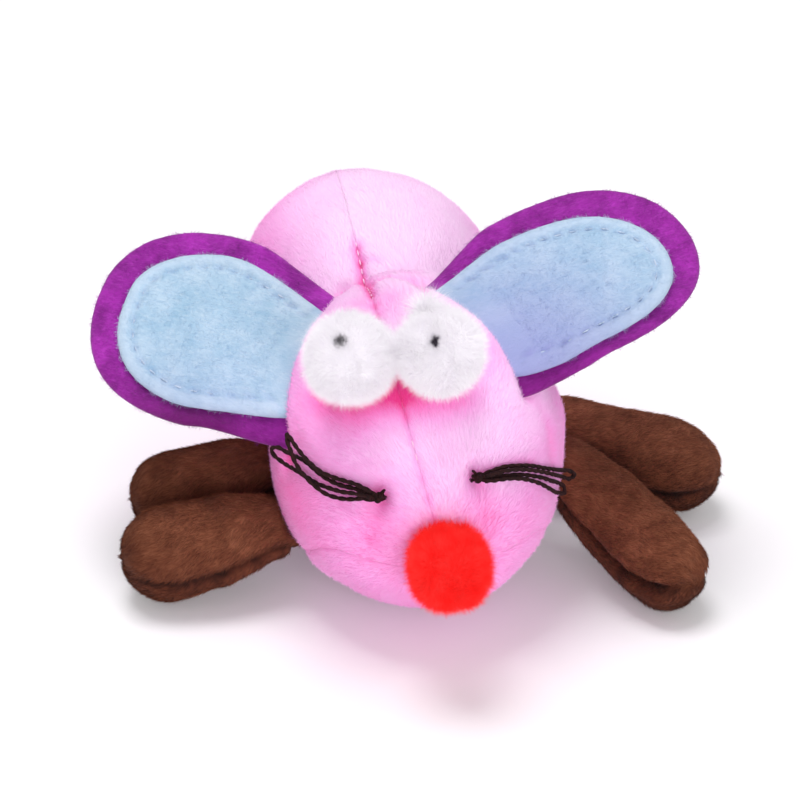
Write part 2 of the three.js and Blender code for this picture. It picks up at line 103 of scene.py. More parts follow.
def lamp(name, across, along, above, size, power):
    """A square soft lamp, its place given from the aim along the camera's right, to the rear, and up."""
    light = bpy.data.lights.new(name, "AREA")
    light.size = size
    light.energy = power
    lamp_object = bpy.data.objects.new(name, light)
    level = Vector((-back.x, -back.y, 0)).normalized()
    lamp_object.location = aim + right * across + level * along + Vector((0, 0, above))
    lamp_object.rotation_mode = "QUATERNION"
    lamp_object.rotation_quaternion = (aim - lamp_object.location).to_track_quat("-Z", "Y")
    bpy.context.scene.collection.objects.link(lamp_object)


lamp("key_lamp", across=-0.12, along=0.12, above=0.8, size=0.4, power=3.8)
lamp("front_lamp", across=0.25, along=-0.95, above=0.3, size=0.6, power=5.2)


def node_maker(tree):
    """A maker of nodes for a tree: each input takes a value or another node's output."""

    def node(kind, inputs=None, **settings):
        made = tree.nodes.new(kind)
        for key, value in settings.items():
            setattr(made, key, value)
        for key, value in (inputs or {}).items():
            if isinstance(value, bpy.types.NodeSocket):
                tree.links.new(value, made.inputs[key])
            else:
                made.inputs[key].default_value = value
        return made

    return node


def wire(output, socket):
    socket.id_data.links.new(output, socket)


def new_material(name, roughness, sheen=0.0, gloss=0.2):
    """A new material with its node maker and its surface shader."""
    material = bpy.data.materials.new(name)
    material.use_nodes = True
    shader = material.node_tree.nodes["Principled BSDF"]
    shader.inputs["Roughness"].default_value = roughness
    shader.inputs["Sheen Weight"].default_value = sheen
    shader.inputs["Specular IOR Level"].default_value = gloss
    return material, node_maker(material.node_tree), shader


world = bpy.data.worlds.new("room")
bpy.context.scene.world = world
world.use_nodes = True
node = node_maker(world.node_tree)
room_light = world.node_tree.nodes["Background"]
room_light.inputs["Color"].default_value = (1, 1, 1, 1)
room_light.inputs["Strength"].default_value = room_level
room_seen = node("ShaderNodeBackground", {"Color": (1, 1, 1, 1), "Strength": 1.0})
seen = node("ShaderNodeLightPath").outputs["Is Camera Ray"]
room_mix = node("ShaderNodeMixShader", {0: seen, 1: room_light.outputs[0], 2: room_seen.outputs[0]})
wire(room_mix.outputs[0], world.node_tree.nodes["World Output"].inputs["Surface"])

table_mesh = bpy.data.meshes.new("table")
table_corners = [(-table_half, -table_half, 0), (table_half, -table_half, 0)]
table_corners += [(table_half, table_half, 0), (-table_half, table_half, 0)]
table_mesh.from_pydata(table_corners, [], [(0, 1, 2, 3)])
table = bpy.data.objects.new("table", table_mesh)
bpy.context.scene.collection.objects.link(table)
table_white, node, shader = new_material("table_white", 0.9, gloss=0.1)
shader.inputs["Base Color"].default_value = colour(248, 246, 249)
seen = node("ShaderNodeLightPath").outputs["Is Camera Ray"]
seen_share = node("ShaderNodeMath", {0: seen, 1: table_glow}, operation="MULTIPLY")
glow = node("ShaderNodeEmission", {"Strength": seen_share.outputs[0]})
table_sum = node("ShaderNodeAddShader", {0: shader.outputs[0], 1: glow.outputs[0]})
wire(table_sum.outputs[0], table_white.node_tree.nodes["Material Output"].inputs["Surface"])
table_mesh.materials.append(table_white)


# Whiskers: on each side two loops of black two-ply sewing thread, which leave a knot in the snout,
# bend once round and come back to it. They are limp, and lie along the cheek where they fall.
ply_radius, ply_offset, ply_pitch = 0.26, 0.13, 3.1
thread_sides = 8
whisker_routes = {
    "right_upper": [
        (-11.0, -11.9, 32.2), (-12.0, -11.1, 32.5), (-13.3, -9.9, 32.7), (-14.7, -8.6, 32.6),
        (-16.4, -6.9, 32.4), (-18.1, -5.6, 32.7), (-19.9, -3.4, 33.5), (-21.4, -0.4, 34.4),
        (-22.2, 1.6, 35.1), (-22.6, 2.4, 35.3), (-22.7, 1.9, 34.7), (-22.4, 0.2, 33.8),
        (-21.8, -1.8, 32.4), (-20.8, -3.8, 31.4), (-19.3, -5.6, 30.3), (-17.6, -7.1, 29.5),
        (-15.8, -8.4, 29.4), (-14.0, -9.8, 29.9), (-12.3, -10.8, 30.5), (-11.0, -11.6, 30.6),
    ],
    "right_lower": [
        (-10.9, -11.3, 31.5), (-12.1, -10.5, 31.6), (-13.4, -9.6, 31.7), (-14.9, -8.5, 31.6),
        (-16.4, -7.0, 31.5), (-18.1, -5.0, 31.8), (-20.3, -1.6, 32.5), (-22.5, 3.2, 31.4),
        (-24.1, 4.8, 31.6), (-24.9, 5.3, 31.0), (-24.6, 4.8, 30.2), (-23.3, 3.2, 29.6),
        (-21.8, 0.0, 30.1), (-20.3, -2.5, 30.2), (-18.7, -4.9, 30.2), (-17.0, -6.9, 30.4),
        (-15.3, -9.0, 30.9), (-13.6, -10.7, 31.5), (-12.3, -11.5, 31.5), (-11.1, -12.2, 31.5),
    ],
    "left_upper": [
        (7.0, -12.0, 34.0), (8.5, -11.4, 34.1), (10.4, -10.5, 34.0), (12.7, -9.4, 33.3),
        (15.3, -7.9, 32.1), (17.8, -6.1, 30.3), (19.9, -4.1, 28.6), (22.4, 0.9, 25.1),
        (23.9, 2.2, 24.0), (24.8, 2.6, 23.0), (23.8, 1.6, 22.9), (22.1, 0.3, 24.3),
        (19.6, -5.5, 28.5), (17.6, -7.2, 30.2), (15.1, -8.9, 31.9), (12.5, -10.4, 33.2),
        (10.2, -11.6, 33.9), (8.4, -12.4, 34.1), (6.9, -13.0, 34.1),
    ],
    "left_lower": [
        (7.1, -12.3, 33.2), (8.5, -11.8, 33.1), (10.5, -11.1, 32.7), (13.0, -9.9, 31.9),
        (15.4, -8.6, 30.6), (17.5, -7.2, 29.1), (18.8, -6.2, 27.9), (21.1, -1.3, 24.2),
        (22.4, -0.4, 22.7), (22.4, -0.8, 21.8), (21.0, -2.3, 22.9), (18.5, -7.6, 27.2),
        (16.8, -8.7, 29.0), (15.1, -9.7, 30.4), (12.8, -10.9, 31.8), (10.3, -12.0, 32.7),
        (8.4, -12.8, 33.1), (6.8, -13.2, 33.4),
    ],
}


def new_piece(name, points, faces, material, attributes=None):
    """A smooth mesh piece from toy millimetres, with any per-corner values that its material reads."""
    mesh = bpy.data.meshes.new(name)
    mesh.from_pydata(place(points).tolist(), [], faces)
    mesh.polygons.foreach_set("use_smooth", [True] * len(mesh.polygons))
    mesh.materials.append(material)
    for key, values in (attributes or {}).items():
        values = np.asarray(values, float)
        kind = "FLOAT" if values.ndim == 1 else "FLOAT_VECTOR"
        layer = mesh.attributes.new(key, kind, "POINT")
        layer.data.foreach_set("value" if values.ndim == 1 else "vector", values.ravel())
    piece = bpy.data.objects.new(name, mesh)
    bpy.context.scene.collection.objects.link(piece)
    return piece


def smooth_line(route, per_span=8):
    """Points along a smooth curve through a route's points."""
    points = np.asarray(route, float)
    points = np.vstack([2 * points[0] - points[1], points, 2 * points[-1] - points[-2]])
    line = []
    for before, start, end, after in zip(points, points[1:], points[2:], points[3:]):
        first, middle, last = (
            math.sqrt(np.linalg.norm(b - a)) for a, b in ((before, start), (start, end), (end, after))
        )
        leave = ((start - before) / first - (end - before) / (first + middle)) * middle + end - start
        arrive = ((after - end) / last - (after - start) / (middle + last)) * middle + end - start
        for step in range(per_span):
            t = step / per_span
            line.append(
                start * (2 * t**3 - 3 * t**2 + 1) + leave * (t**3 - 2 * t**2 + t)
                + end * (3 * t**2 - 2 * t**3) + arrive * (t**3 - t**2)
            )
    line.append(points[-2])
    return np.array(line)


def line_frames(line):
    """Two directions square to a line at each of its points, without twist, and the way run so far."""
    heading = np.gradient(line, axis=0)
    heading /= np.linalg.norm(heading, axis=1)[:, None]
    sides = []
    side = np.cross(heading[0], (0.3, 0.2, 0.9))
    for ahead in heading:
        side = side - ahead * side.dot(ahead)
        side = side / np.linalg.norm(side)
        sides.append(side)
    sides = np.array(sides)
    run = np.concatenate([[0], np.cumsum(np.linalg.norm(np.diff(line, axis=0), axis=1))])
    return sides, np.cross(heading, sides), run


def tube(line, radius, corners):
    """Corners and faces of a closed tube along a line; the radius may change from point to point."""
    side, over, _ = line_frames(line)
    radii = np.broadcast_to(radius, len(line))
    turn = 2 * np.pi * np.arange(corners) / corners
    rings = line[:, None] + radii[:, None, None] * (
        np.cos(turn)[None, :, None] * side[:, None] + np.sin(turn)[None, :, None] * over[:, None]
    )
    faces = []
    for ring in range(0, (len(line) - 1) * corners, corners):
        for j in range(corners):
            k = (j + 1) % corners
            faces.append((ring + j, ring + k, ring + corners + k, ring + corners + j))
    faces.append(tuple(reversed(range(corners))))
    faces.append(tuple(range((len(line) - 1) * corners, len(line) * corners)))
    return rings.reshape(-1, 3), faces


def join(parts):
    """One list of corners and of faces from several."""
    points, faces = [], []
    for part_points, part_faces in parts:
        shift = sum(len(p) for p in points)
        points.append(np.asarray(part_points))
        faces += [tuple(k + shift for k in face) for face in part_faces]
    return np.vstack(points), faces


def twisted_thread(line, size=1.0):
    """Two plies wound round each other along a line."""
    side, over, run = line_frames(line)
    plies = []
    for phase in (0, np.pi):
        turn = 2 * np.pi * run / ply_pitch + phase
        wound = line + size * ply_offset * (np.cos(turn)[:, None] * side + np.sin(turn)[:, None] * over)
        plies.append(tube(wound, size * ply_radius, thread_sides))
    return join(plies)


def colour_ramp(node, share, stops):
    """Colour that runs through places and their tints as a share grows."""
    ramp = node("ShaderNodeValToRGB", {"Fac": share})
    steps = ramp.color_ramp.elements
    for step, (at, tint) in zip((steps[0], steps[1]), (stops[0], stops[-1])):
        step.position = at
        step.color = colour(*tint)
    for at, tint in stops[1:-1]:
        steps.new(at).color = colour(*tint)
    return ramp.outputs["Color"]


def mottle(node, scale, detail, low, high, stretch=(1, 1, 1)):
    """Colour that wanders between two tints over the piece; the scale counts patches per metre."""
    own_place = node("ShaderNodeTexCoord").outputs["Object"]
    stretched = node("ShaderNodeMapping", {"Vector": own_place, "Scale": stretch}).outputs["Vector"]
    cloud = node("ShaderNodeTexNoise", {"Vector": stretched, "Scale": scale, "Detail": detail})
    return colour_ramp(node, cloud.outputs["Fac"], ((0.3, low), (0.7, high)))


def mottled_material(name, roughness, sheen, *mottling):
    material, node, shader = new_material(name, roughness, sheen)
    wire(mottle(node, *mottling), shader.inputs["Base Color"])
    return material


thread_black = mottled_material("thread_black", 0.8, 0.0, 1800, 3, (24, 8, 10), (50, 20, 20))

for name, route in whisker_routes.items():
    line = smooth_line(route)
    whisker = new_piece(f"thread_{name}", *twisted_thread(line), thread_black)
    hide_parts(f"whisker_{name}")
    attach(whisker, "body")


# Body shape: the stuffed cover swells at the head and rump and is drawn in at the neck. Stations run
# along Y, and angles run round from the back seam, which the lie of the toy turns to its right.
head_half_width, neck_half_width, rump_half_width = 24.3, 22.2, 23.0
head_half_height, neck_half_height, rump_half_height = 26.5, 24.0, 26.8
snout_z, rear_z = 21.6, 24.0
upper_roundness, lower_roundness = 2.0, 2.25
roll_degrees = 16
floor_flat = 0.5


def body_section(y):
    """Half width, half height and middle height of the body at stations."""
    y = np.asarray(y, float)
    ahead = np.clip((head_y - y) / (head_y - snout_y), 0, 1)
    behind = np.clip((y - rump_y) / (rear_y - rump_y), 0, 1)
    front = y < neck_y
    start = np.where(front, head_y, rump_y)
    share = np.clip((y - start) / (neck_y - start), 0, 1) ** 2
    wide = np.where(front, head_half_width, rump_half_width)
    high = np.where(front, head_half_height, rump_half_height)
    width = wide + (neck_half_width - wide) * share
    height = high + (neck_half_height - high) * share
    middle = height - floor_flat
    round_share = np.sqrt(np.maximum(0, (1 - ahead**2) * (1 - behind**2)))
    middle = snout_z + (middle - snout_z) * (1 - ahead**2)
    rump_middle = rump_half_height - floor_flat
    middle = np.where(behind > 0, rear_z + (rump_middle - rear_z) * (1 - behind**2), middle)
    return width * round_share, height * round_share, middle


def body_point(y, angle):
    """Point of the body's outer surface at stations and angles from the top, in radians."""
    width, height, middle = body_section(y)
    sine, cosine = np.sin(angle), np.cos(angle)
    power = 2 / np.where(cosine < 0, lower_roundness, upper_roundness)
    across = width * np.sign(sine) * np.abs(sine) ** power
    rise = middle + height * np.sign(cosine) * np.abs(cosine) ** power
    return np.stack([across, np.broadcast_to(y, across.shape), rise], axis=-1)


def body_normal(y, angle):
    small = 0.02
    inside = np.clip(y, snout_y + 0.1, rear_y - 0.1)
    lengthwise = body_point(inside + small, angle) - body_point(inside - small, angle)
    crosswise = body_point(inside, angle + small / 10) - body_point(inside, angle - small / 10)
    normal = np.cross(crosswise, lengthwise)
    return normal / np.linalg.norm(normal, axis=-1)[..., None]


def on_body(y, degrees, lift=0.0):
    """Point over the rolled body: degrees round from the back seam, lifted straight off the surface."""
    angle = np.radians(np.asarray(degrees, float) - roll_degrees)
    y = np.asarray(y, float)
    return body_point(y, angle) + np.asarray(lift)[..., None] * body_normal(y, angle)


# Whisker knots and tie: the four thread ends of each side are knotted in a dimple of the snout, and
# one thread drawn tight through the stuffing ties the two knots together.
knot_radius, knot_lift = 1.1, 0.4
knot_stations = {"left": (-12, 46), "right": (-11.4, -36.5)}
knot_turns = np.linspace(0, 2 * np.pi, 61)
tie_sag = 3.4
knots = {}
for side, (station, degrees) in knot_stations.items():
    centre = on_body(station, degrees, knot_lift)
    knots[side] = centre
    trefoil = np.stack([
        np.sin(knot_turns) + 2 * np.sin(2 * knot_turns),
        np.cos(knot_turns) - 2 * np.cos(2 * knot_turns),
        -np.sin(3 * knot_turns),
    ], axis=1) / 3
    parts = [tube(centre + trefoil * (knot_radius - 0.35), 0.42, thread_sides)]
    sign = 1 if side == "left" else -1
    for tail_end in ((0.9 * -sign, -0.3, 1.5), (0.3 * -sign, -1.1, 0.9)):
        tail = smooth_line([centre, centre + 0.5 * np.array(tail_end), centre + tail_end])
        parts.append(twisted_thread(tail, 0.8))
    for name, route in whisker_routes.items():
        for end in (route[0], route[-1]) if name.startswith(side) else ():
            parts.append(twisted_thread(smooth_line([end, (end + centre) / 2, centre])))
    knot = new_piece(f"thread_knot_{side}", *join(parts), thread_black)
    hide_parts(f"whisker_knot_{side}")
    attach(knot, "body")

tie_ends = knots["left"], knots["right"]
tie_middle = (tie_ends[0] + tie_ends[1]) / 2 - (0, -tie_sag, 0.8 * tie_sag)
tie_line = smooth_line([
    tie_ends[0],
    tie_ends[0] * 0.7 + tie_middle * 0.3 - (0, -1.2, 1.2),
    tie_middle,
    tie_ends[1] * 0.7 + tie_middle * 0.3 - (0, -1.2, 1.2),
    tie_ends[1],
])
tie = new_piece("thread_tie", *twisted_thread(tie_line), thread_black)
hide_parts("whisker_tie_thread")
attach(tie, "body")


# Body cover: two side panels sewn together along the back and one belly panel between the legs, all of
# pink plush. The seams and the ears' darts draw it in, and the whisker tie pulls a dimple each side.
cover_drop = 0.35
cloth_thick = 1.1
belly_seam_z, snout_seam_z, rear_seam_z = 11.5, 19.3, 20.0
belly_seam_cap = 0.56
seam_half_gap = 0.01
head_rows, waist_rows, rump_rows = 84, 84, 60
panel_columns = {"left": 96, "belly": 60, "right": 96}
stitch_pitch = 3.3
ear_roots = {"left": ((1.5, 62), (22, 19)), "right": ((6, -62), (29, -12))}
eye_radius, eye_sink = 7.0, 1.0
eye_stations = {"left": (-1.3, 18), "right": (1.1, -12)}
eye_centres = {side: on_body(*at, eye_radius - eye_sink) for side, at in eye_stations.items()}


def ease(share):
    share = np.clip(share, 0, 1)
    return share * share * (3 - 2 * share)


def bell(distance, half_width):
    """Share of 1 at no distance, falling off softly past the half width."""
    return np.exp(-((distance / half_width) ** 2))


def belly_angle(y):
    """Angle from the top of the belly seam: level along the belly, and rising at both tips."""
    _, height, middle = body_section(y)
    rise = belly_seam_z + (snout_seam_z - belly_seam_z) * ease((6 - y) / 15)
    rise = rise + (rear_seam_z - belly_seam_z) * ease((y - 70) / 10)
    share = np.clip((middle - rise) / np.maximum(height, 0.01), 0, belly_seam_cap)
    return np.pi - np.arccos(share ** (lower_roundness / 2))


def ear_root_line(side, count=24):
    (low_y, low_degrees), (high_y, high_degrees) = ear_roots[side]
    share = np.linspace(-0.06, 1.06, count)
    return on_body(low_y + (high_y - low_y) * share, low_degrees + (high_degrees - low_degrees) * share)


# Creases that the photograph shows, each with its depth, its half width and how deep its painted shade is
creases = [
    (ear_root_line("left"), 1.6, 1.6, 0.3),
    (ear_root_line("right"), 1.6, 1.6, 0.3),
    (on_body(np.linspace(19, 39, 10), np.zeros(10)), 0.7, 1.2, 0.45),
    (np.array([(-6.9, 31.2, 46.2), (-8.6, 28.0, 47.2), (-10.4, 25.2, 47.7)]), 0.5, 0.8, 0.5),
    (
        np.array([(-5.9, 24.1, 49.9), (-2.0, 23.4, 50.8), (0.6, 20.6, 51.7), (2.1, 15.9, 52.3)]),
        0.7, 0.8, 0.5,
    ),
    (np.array([(-5.2, 30.0, 49.0), (-2.1, 31.6, 48.6), (1.5, 30.2, 49.0)]), 0.4, 0.8, 0.3),
    (np.array([(-5.6, 27.0, 49.6), (-1.4, 27.8, 49.8), (2.8, 26.0, 50.0)]), 0.5, 0.8, 0.4),
    (np.array([(-6.0, 35.5, 47.8), (-4.2, 35.0, 48.5), (-3.0, 34.0, 48.6)]), 0.3, 0.8, 0.3),
    (np.array([(-9.9, -12.2, 29.0), (-10.4, -12.3, 26.3), (-11.2, -12.1, 23.4)]), 0.6, 2.6, 0.16),
    (np.array([(6.2, -13.3, 31.0), (6.6, -13.7, 29.1), (7.2, -13.8, 26.5)]), 0.6, 2.6, 0.16),
    (np.array([(15.9, 1.7, 41.9), (19.8, -0.2, 33.4), (20.5, -2.5, 28.0)]), 0.5, 1.8, 0.1),
    (np.array([(8.7, -11.6, 34.3), (12.5, -9.8, 34.0), (16.5, -7.4, 32.0)]), 0.6, 1.0, 0.55),
    (np.array([(-12.4, -10.6, 31.4), (-15.5, -8.2, 31.4), (-18.5, -5.4, 31.6)]), 0.4, 1.1, 0.3),
]
# Soft swells of the stuffing over the plain form: middle, half width and height
swells = [
    (on_body(64.0, -66), 15.0, 2.1),
    (on_body(63.0, -34), 13.0, 1.3),
    (on_body(62.0, 52), 15.0, -1.0),
    (np.array((24.0, 8.0, 31.0)), 8.0, 1.4),
    (np.array((-16.0, -4.0, 36.0)), 8.0, 0.5),
]
# Painted shade: where the pink is also painted deeper, most of all right under the eyes:
# middle, half width and how deep
painted_shade_spots = [
    (np.array((-17.5, 3.0, 42.0)), 3.4, 0.3),
    (on_body(13.0, 0.0), 6.0, 0.4),
    (on_body(3.0, 40.0), 5.0, 0.35),
    (np.array((-23.0, 2.0, 24.0)), 9.0, 0.2),
]
# Way from each eye towards the painted shade under it
eye_shade_way = (-0.1, -0.85, -0.5)
# Painted light: the pile is painted palest where it faces the light above and a little in front of the toy
painted_light_way = np.array((0.1, -0.25, 0.96))


def unit(vectors):
    return vectors / np.maximum(np.linalg.norm(vectors, axis=-1), 1e-9)[..., None]


def distance_to_line(points, line):
    """Least distance of each point to a line of points."""
    nearest = np.full(points.shape[:-1], 1e9)
    for start, end in zip(line[:-1], line[1:]):
        along = end - start
        share = np.clip(((points - start) @ along) / max(along @ along, 1e-9), 0, 1)
        nearest = np.minimum(nearest, np.linalg.norm(points - start - share[..., None] * along, axis=-1))
    return nearest


def wander(points, size, seed):
    """Smooth noise from -1 to 1 whose lumps are about as wide as the size in millimetres."""
    shift = Vector((seed * 7.31, seed * 3.17, seed * 5.53))
    flat = points.reshape(-1, 3) / size
    return np.array([noise.noise(Vector(at) + shift) for at in flat]).reshape(points.shape[:-1])


def seam_bite(distance, run, depth):
    """Lift beside a seam: drawn in at the stitches, puffed out between them and a little way off."""
    pucker = 0.5 + 0.5 * np.cos(2 * np.pi * run / stitch_pitch)
    groove = -depth * bell(distance, 0.9)
    puff = 0.25 * depth * bell(distance - 3.6, 2.2)
    return groove + puff - 0.2 * depth * pucker * bell(distance, 2.6)


back_seam_depths = [(-15.5, 0.3), (4, 0.4), (14, 0.6), (22, 0.9), (36, 0.7), (43, 0.12), (81, 0.1)]
cover_stations = np.concatenate([
    head_y - (head_y - snout_y) * np.cos(np.pi / 2 * np.arange(head_rows) / head_rows),
    np.linspace(head_y, rump_y, waist_rows, endpoint=False),
    rump_y + (rear_y - rump_y) * np.sin(np.pi / 2 * np.arange(rump_rows + 1) / rump_rows),
])
back_seam = body_point(cover_stations, np.full(len(cover_stations), -math.radians(roll_degrees)))
seam_run = np.concatenate([[0], np.cumsum(np.linalg.norm(np.diff(back_seam, axis=0), axis=1))])


# The filling presses the cover out as cloth, and its seams' stitches, ear darts and knots hold it back
# there. The cloth starts a little inside the plain form, on a grid scaled to a size that suits it.
puff_rows, puff_columns = 56, {"left": 38, "belly": 20, "right": 38}
puff_scale, puff_frames, puff_start = 20.0, 20, 0.6
puff_pressure, puff_mass, puff_stiffness, puff_slack = 4.0, 0.15, 0.3, 0.04
dart_hold, knot_hold = 1.4, 1.8
puff_limit, puff_share = 0.8, 0.6


def puffed_cover():
    """Stations, and for each panel how far simulated cloth ends over or under the body's plain form."""
    stations = np.linspace(snout_y + 2.5, rear_y - 2.5, puff_rows)
    y = stations[:, None]
    belly = belly_angle(y)
    seam = -math.radians(roll_degrees)
    far_belly, far_seam = 2 * np.pi - belly, 2 * np.pi + seam
    spans = (seam, belly), (belly, far_belly), (far_belly, far_seam)
    angle = np.hstack([
        low + (high - low) * np.arange(count) / count
        for (low, high), count in zip(spans, puff_columns.values())
    ])
    base = body_point(np.broadcast_to(y, angle.shape), angle)
    normal = body_normal(np.broadcast_to(y, angle.shape), angle)
    rows, columns = angle.shape
    number = np.arange(rows * columns).reshape(rows, columns)
    number = np.hstack([number, number[:, :1]])
    ends = [tuple(int(k) for k in number[0, :-1]), tuple(int(k) for k in reversed(number[-1, :-1]))]
    start = (base - puff_start * normal).reshape(-1, 3) / puff_scale
    mesh = bpy.data.meshes.new("cover_cloth")
    mesh.from_pydata(start.tolist(), [], quads(number, True) + ends)
    cloth = bpy.data.objects.new("cover_cloth", mesh)
    bpy.context.scene.collection.objects.link(cloth)
    held = np.zeros((rows, columns), bool)
    held[::2, [0, puff_columns["left"], puff_columns["left"] + puff_columns["belly"]]] = True
    for side in ear_roots:
        held |= distance_to_line(base, ear_root_line(side)) < dart_hold
        held |= np.linalg.norm(base - knots[side], axis=-1) < knot_hold
    cloth.vertex_groups.new(name="held").add([int(k) for k in np.flatnonzero(held)], 1.0, "REPLACE")
    settings = cloth.modifiers.new("press", "CLOTH").settings
    settings.quality = 5
    settings.mass = puff_mass
    settings.bending_stiffness = puff_stiffness
    settings.use_pressure = True
    settings.uniform_pressure_force = puff_pressure
    settings.shrink_min = -puff_slack
    settings.effector_weights.gravity = 0
    settings.vertex_group_mass = "held"
    for frame_number in range(1, puff_frames + 1):
        bpy.context.scene.frame_set(frame_number)
    pressed = cloth.evaluated_get(bpy.context.evaluated_depsgraph_get()).to_mesh()
    corners = np.empty(rows * columns * 3)
    pressed.vertices.foreach_get("co", corners)
    bpy.data.objects.remove(cloth)
    bpy.context.scene.frame_set(1)
    moved = corners.reshape(rows, columns, 3) * puff_scale - base
    lift = (moved * normal).sum(axis=-1)
    lift = puff_limit * np.tanh((lift - np.median(lift)) / puff_limit)
    for smoothing in range(2):
        lift[1:-1] = lift[1:-1] / 2 + (lift[:-2] + lift[2:]) / 4
        lift = lift / 2 + (np.roll(lift, 1, axis=1) + np.roll(lift, -1, axis=1)) / 4
    lift = np.hstack([lift, lift[:, :1]])
    first = np.concatenate([[0], np.cumsum(list(puff_columns.values()))])
    return stations, {name: lift[:, first[k]:first[k + 1] + 1] for k, name in enumerate(puff_columns)}


def puff_lift(name, columns):
    """The pressed cloth's lift at each station and column of a panel's grid."""
    stations, lifts = cover_puff
    rows = np.array([np.interp(cover_stations, stations, column) for column in lifts[name].T]).T
    share = np.linspace(0, 1, rows.shape[1])
    return np.array([np.interp(np.linspace(0, 1, columns + 1), share, row) for row in rows])


# Height and size of the lumps that the filling makes in the cover, from coarse to fine
cover_lumps = (0.4, 13), (0.14, 4.5), (0.05, 1.6)


def cover_panel(name):
    """Outer surface of one panel as rows of points, its normals, and its painted shade with random tone."""
    y = cover_stations[:, None]
    belly = belly_angle(y)
    seam = -math.radians(roll_degrees)
    width = np.maximum(body_section(y)[0], 0.5)
    trim = seam_half_gap / width
    low, high = {
        "left": (seam + trim, belly - trim),
        "belly": (belly + trim, 2 * np.pi - belly - trim),
        "right": (-belly + trim, seam - trim),
    }[name]
    columns = panel_columns[name]
    angle = low + (high - low) * np.linspace(0, 1, columns + 1)[None, :]
    y = np.broadcast_to(y, angle.shape)
    base = body_point(y, angle)
    normal = body_normal(y, angle)
    run = np.broadcast_to(seam_run[:, None], angle.shape)
    from_back = np.abs((angle + np.pi - seam) % (2 * np.pi) - np.pi) * width
    from_seams = np.abs((angle - belly, angle + belly, angle - 2 * np.pi + belly))
    from_belly = from_seams.min(axis=0) * width
    calm = np.minimum(1, width / 7)
    back_depth = np.interp(y, *zip(*back_seam_depths))
    pull = 0.5 + 0.5 * np.cos(2 * np.pi * run / stitch_pitch)
    belly_depth = 0.2 + 0.6 * ease((y + 2) / 14)
    bites = seam_bite(from_back, run, back_depth) + seam_bite(from_belly, run + 1.3, belly_depth)
    lift = -cover_drop + calm * bites
    lift = lift + 0.3 * calm * bell(from_back, 0.9) * (back_depth < 0.3)
    # Painted light and shade: the pink is painted paler where the cover faces the light and deeper where it
    # faces away, with a little random tone
    facing = normal @ unit(painted_light_way)
    shade_and_tone = 0.05 + 0.46 * ease((0.94 - facing) / 0.65) + 0.05 * wander(base, 6, 5)
    # Painted shade in the grooves of the back and belly seams, deepest at the stitches
    seam_shade = 0.7 * np.clip(back_depth, 0, 0.5) * (0.35 + 0.65 * pull)
    shade_and_tone = shade_and_tone + seam_shade * bell(from_back, 0.6)
    shade_and_tone = shade_and_tone + 0.25 * belly_depth * bell(from_belly, 0.9)
    # Painted shade deepens the pink in each crease
    for line, depth, half_width, pink in creases:
        near = bell(distance_to_line(base, line), half_width)
        lift = lift - depth * near
        shade_and_tone = shade_and_tone + pink * near
    for centre in knots.values():
        away = np.linalg.norm(base - centre, axis=-1)
        lift = lift - 1.3 * bell(away, 1.7) + 0.3 * bell(away - 4.0, 1.8)
        # Painted shade in each knot's dimple
        shade_and_tone = shade_and_tone + 0.3 * bell(away, 1.9)
    for centre, half_width, height in swells:
        lift = lift + height * bell(np.linalg.norm(base - centre, axis=-1), half_width)
    for centre, half_width, pink in painted_shade_spots:
        shade_and_tone = shade_and_tone + pink * bell(np.linalg.norm(base - centre, axis=-1), half_width)
    # Painted shade under each eye
    for centre in eye_centres.values():
        reach = np.linalg.norm(base - centre, axis=-1)
        under = ease(0.5 + (base - centre) @ unit(np.array(eye_shade_way)) / reach)
        shade_and_tone = shade_and_tone + 0.72 * under * bell(np.maximum(reach - eye_radius, 0), 5.0)
    for lump_seed, (height, size) in enumerate(cover_lumps, 1):
        lift = lift + height * wander(base, size, lump_seed)
    if cover_puff:
        free = np.ones_like(lift)
        for route in whisker_routes.values():
            free = free * (1 - bell(distance_to_line(base, np.array(route)), 3.0))
        share = puff_share * calm * free * (1 - 0.75 * ease((y - 28) / 14))
        lift = lift + share * puff_lift(name, columns)
    outer = base + lift[..., None] * normal
    outer[0] = outer[0].mean(axis=0)
    outer[-1] = outer[-1].mean(axis=0)
    outer[..., 2] = np.maximum(outer[..., 2], 0.25 + 0.1 * wander(base, 3, 4))
    return outer, normal, np.clip(shade_and_tone, 0, 1)


def pole_grid(grid):
    """Corners of a grid whose first and last rows are single points, and each place's corner number."""
    rows, columns = grid.shape[:2]
    number = np.zeros((rows, columns), int)
    number[1:-1] = 1 + np.arange((rows - 2) * columns).reshape(rows - 2, columns)
    number[-1] = 1 + (rows - 2) * columns
    corners = np.concatenate([grid[:1, 0], grid[1:-1].reshape(-1, *grid.shape[2:]), grid[-1:, 0]])
    return corners, number


def quads(number, flip=False):
    """Faces of a grid of corner numbers; a face with a repeated corner has one corner less."""
    faces = []
    for upper, lower in zip(number[:-1], number[1:]):
        for j in range(len(upper) - 1):
            face = tuple(dict.fromkeys((upper[j], upper[j + 1], lower[j + 1], lower[j])))
            faces.append(tuple(int(k) for k in (reversed(face) if flip else face)))
    return faces


def shell(outer, inner):
    """Corners and faces of a closed shell between two like grids whose end rows are single points."""
    outer_corners, top = pole_grid(outer)
    inner_corners, bottom = pole_grid(inner)
    bottom = bottom + len(outer_corners)
    faces = quads(top) + quads(bottom, flip=True)
    faces += quads(np.stack([bottom[:, 0], top[:, 0]], axis=1))
    faces += quads(np.stack([top[:, -1], bottom[:, -1]], axis=1))
    return np.vstack([outer_corners, inner_corners]), faces


def attribute(node, key, output="Fac"):
    return node("ShaderNodeAttribute", attribute_name=key).outputs[output]


def blend_colours(node, share, first, second):
    """Mix of two colours by a share; inputs 6 and 7 and output 2 are the mix's colours."""
    return node("ShaderNodeMix", {"Factor": share, 6: first, 7: second}, data_type="RGBA").outputs[2]


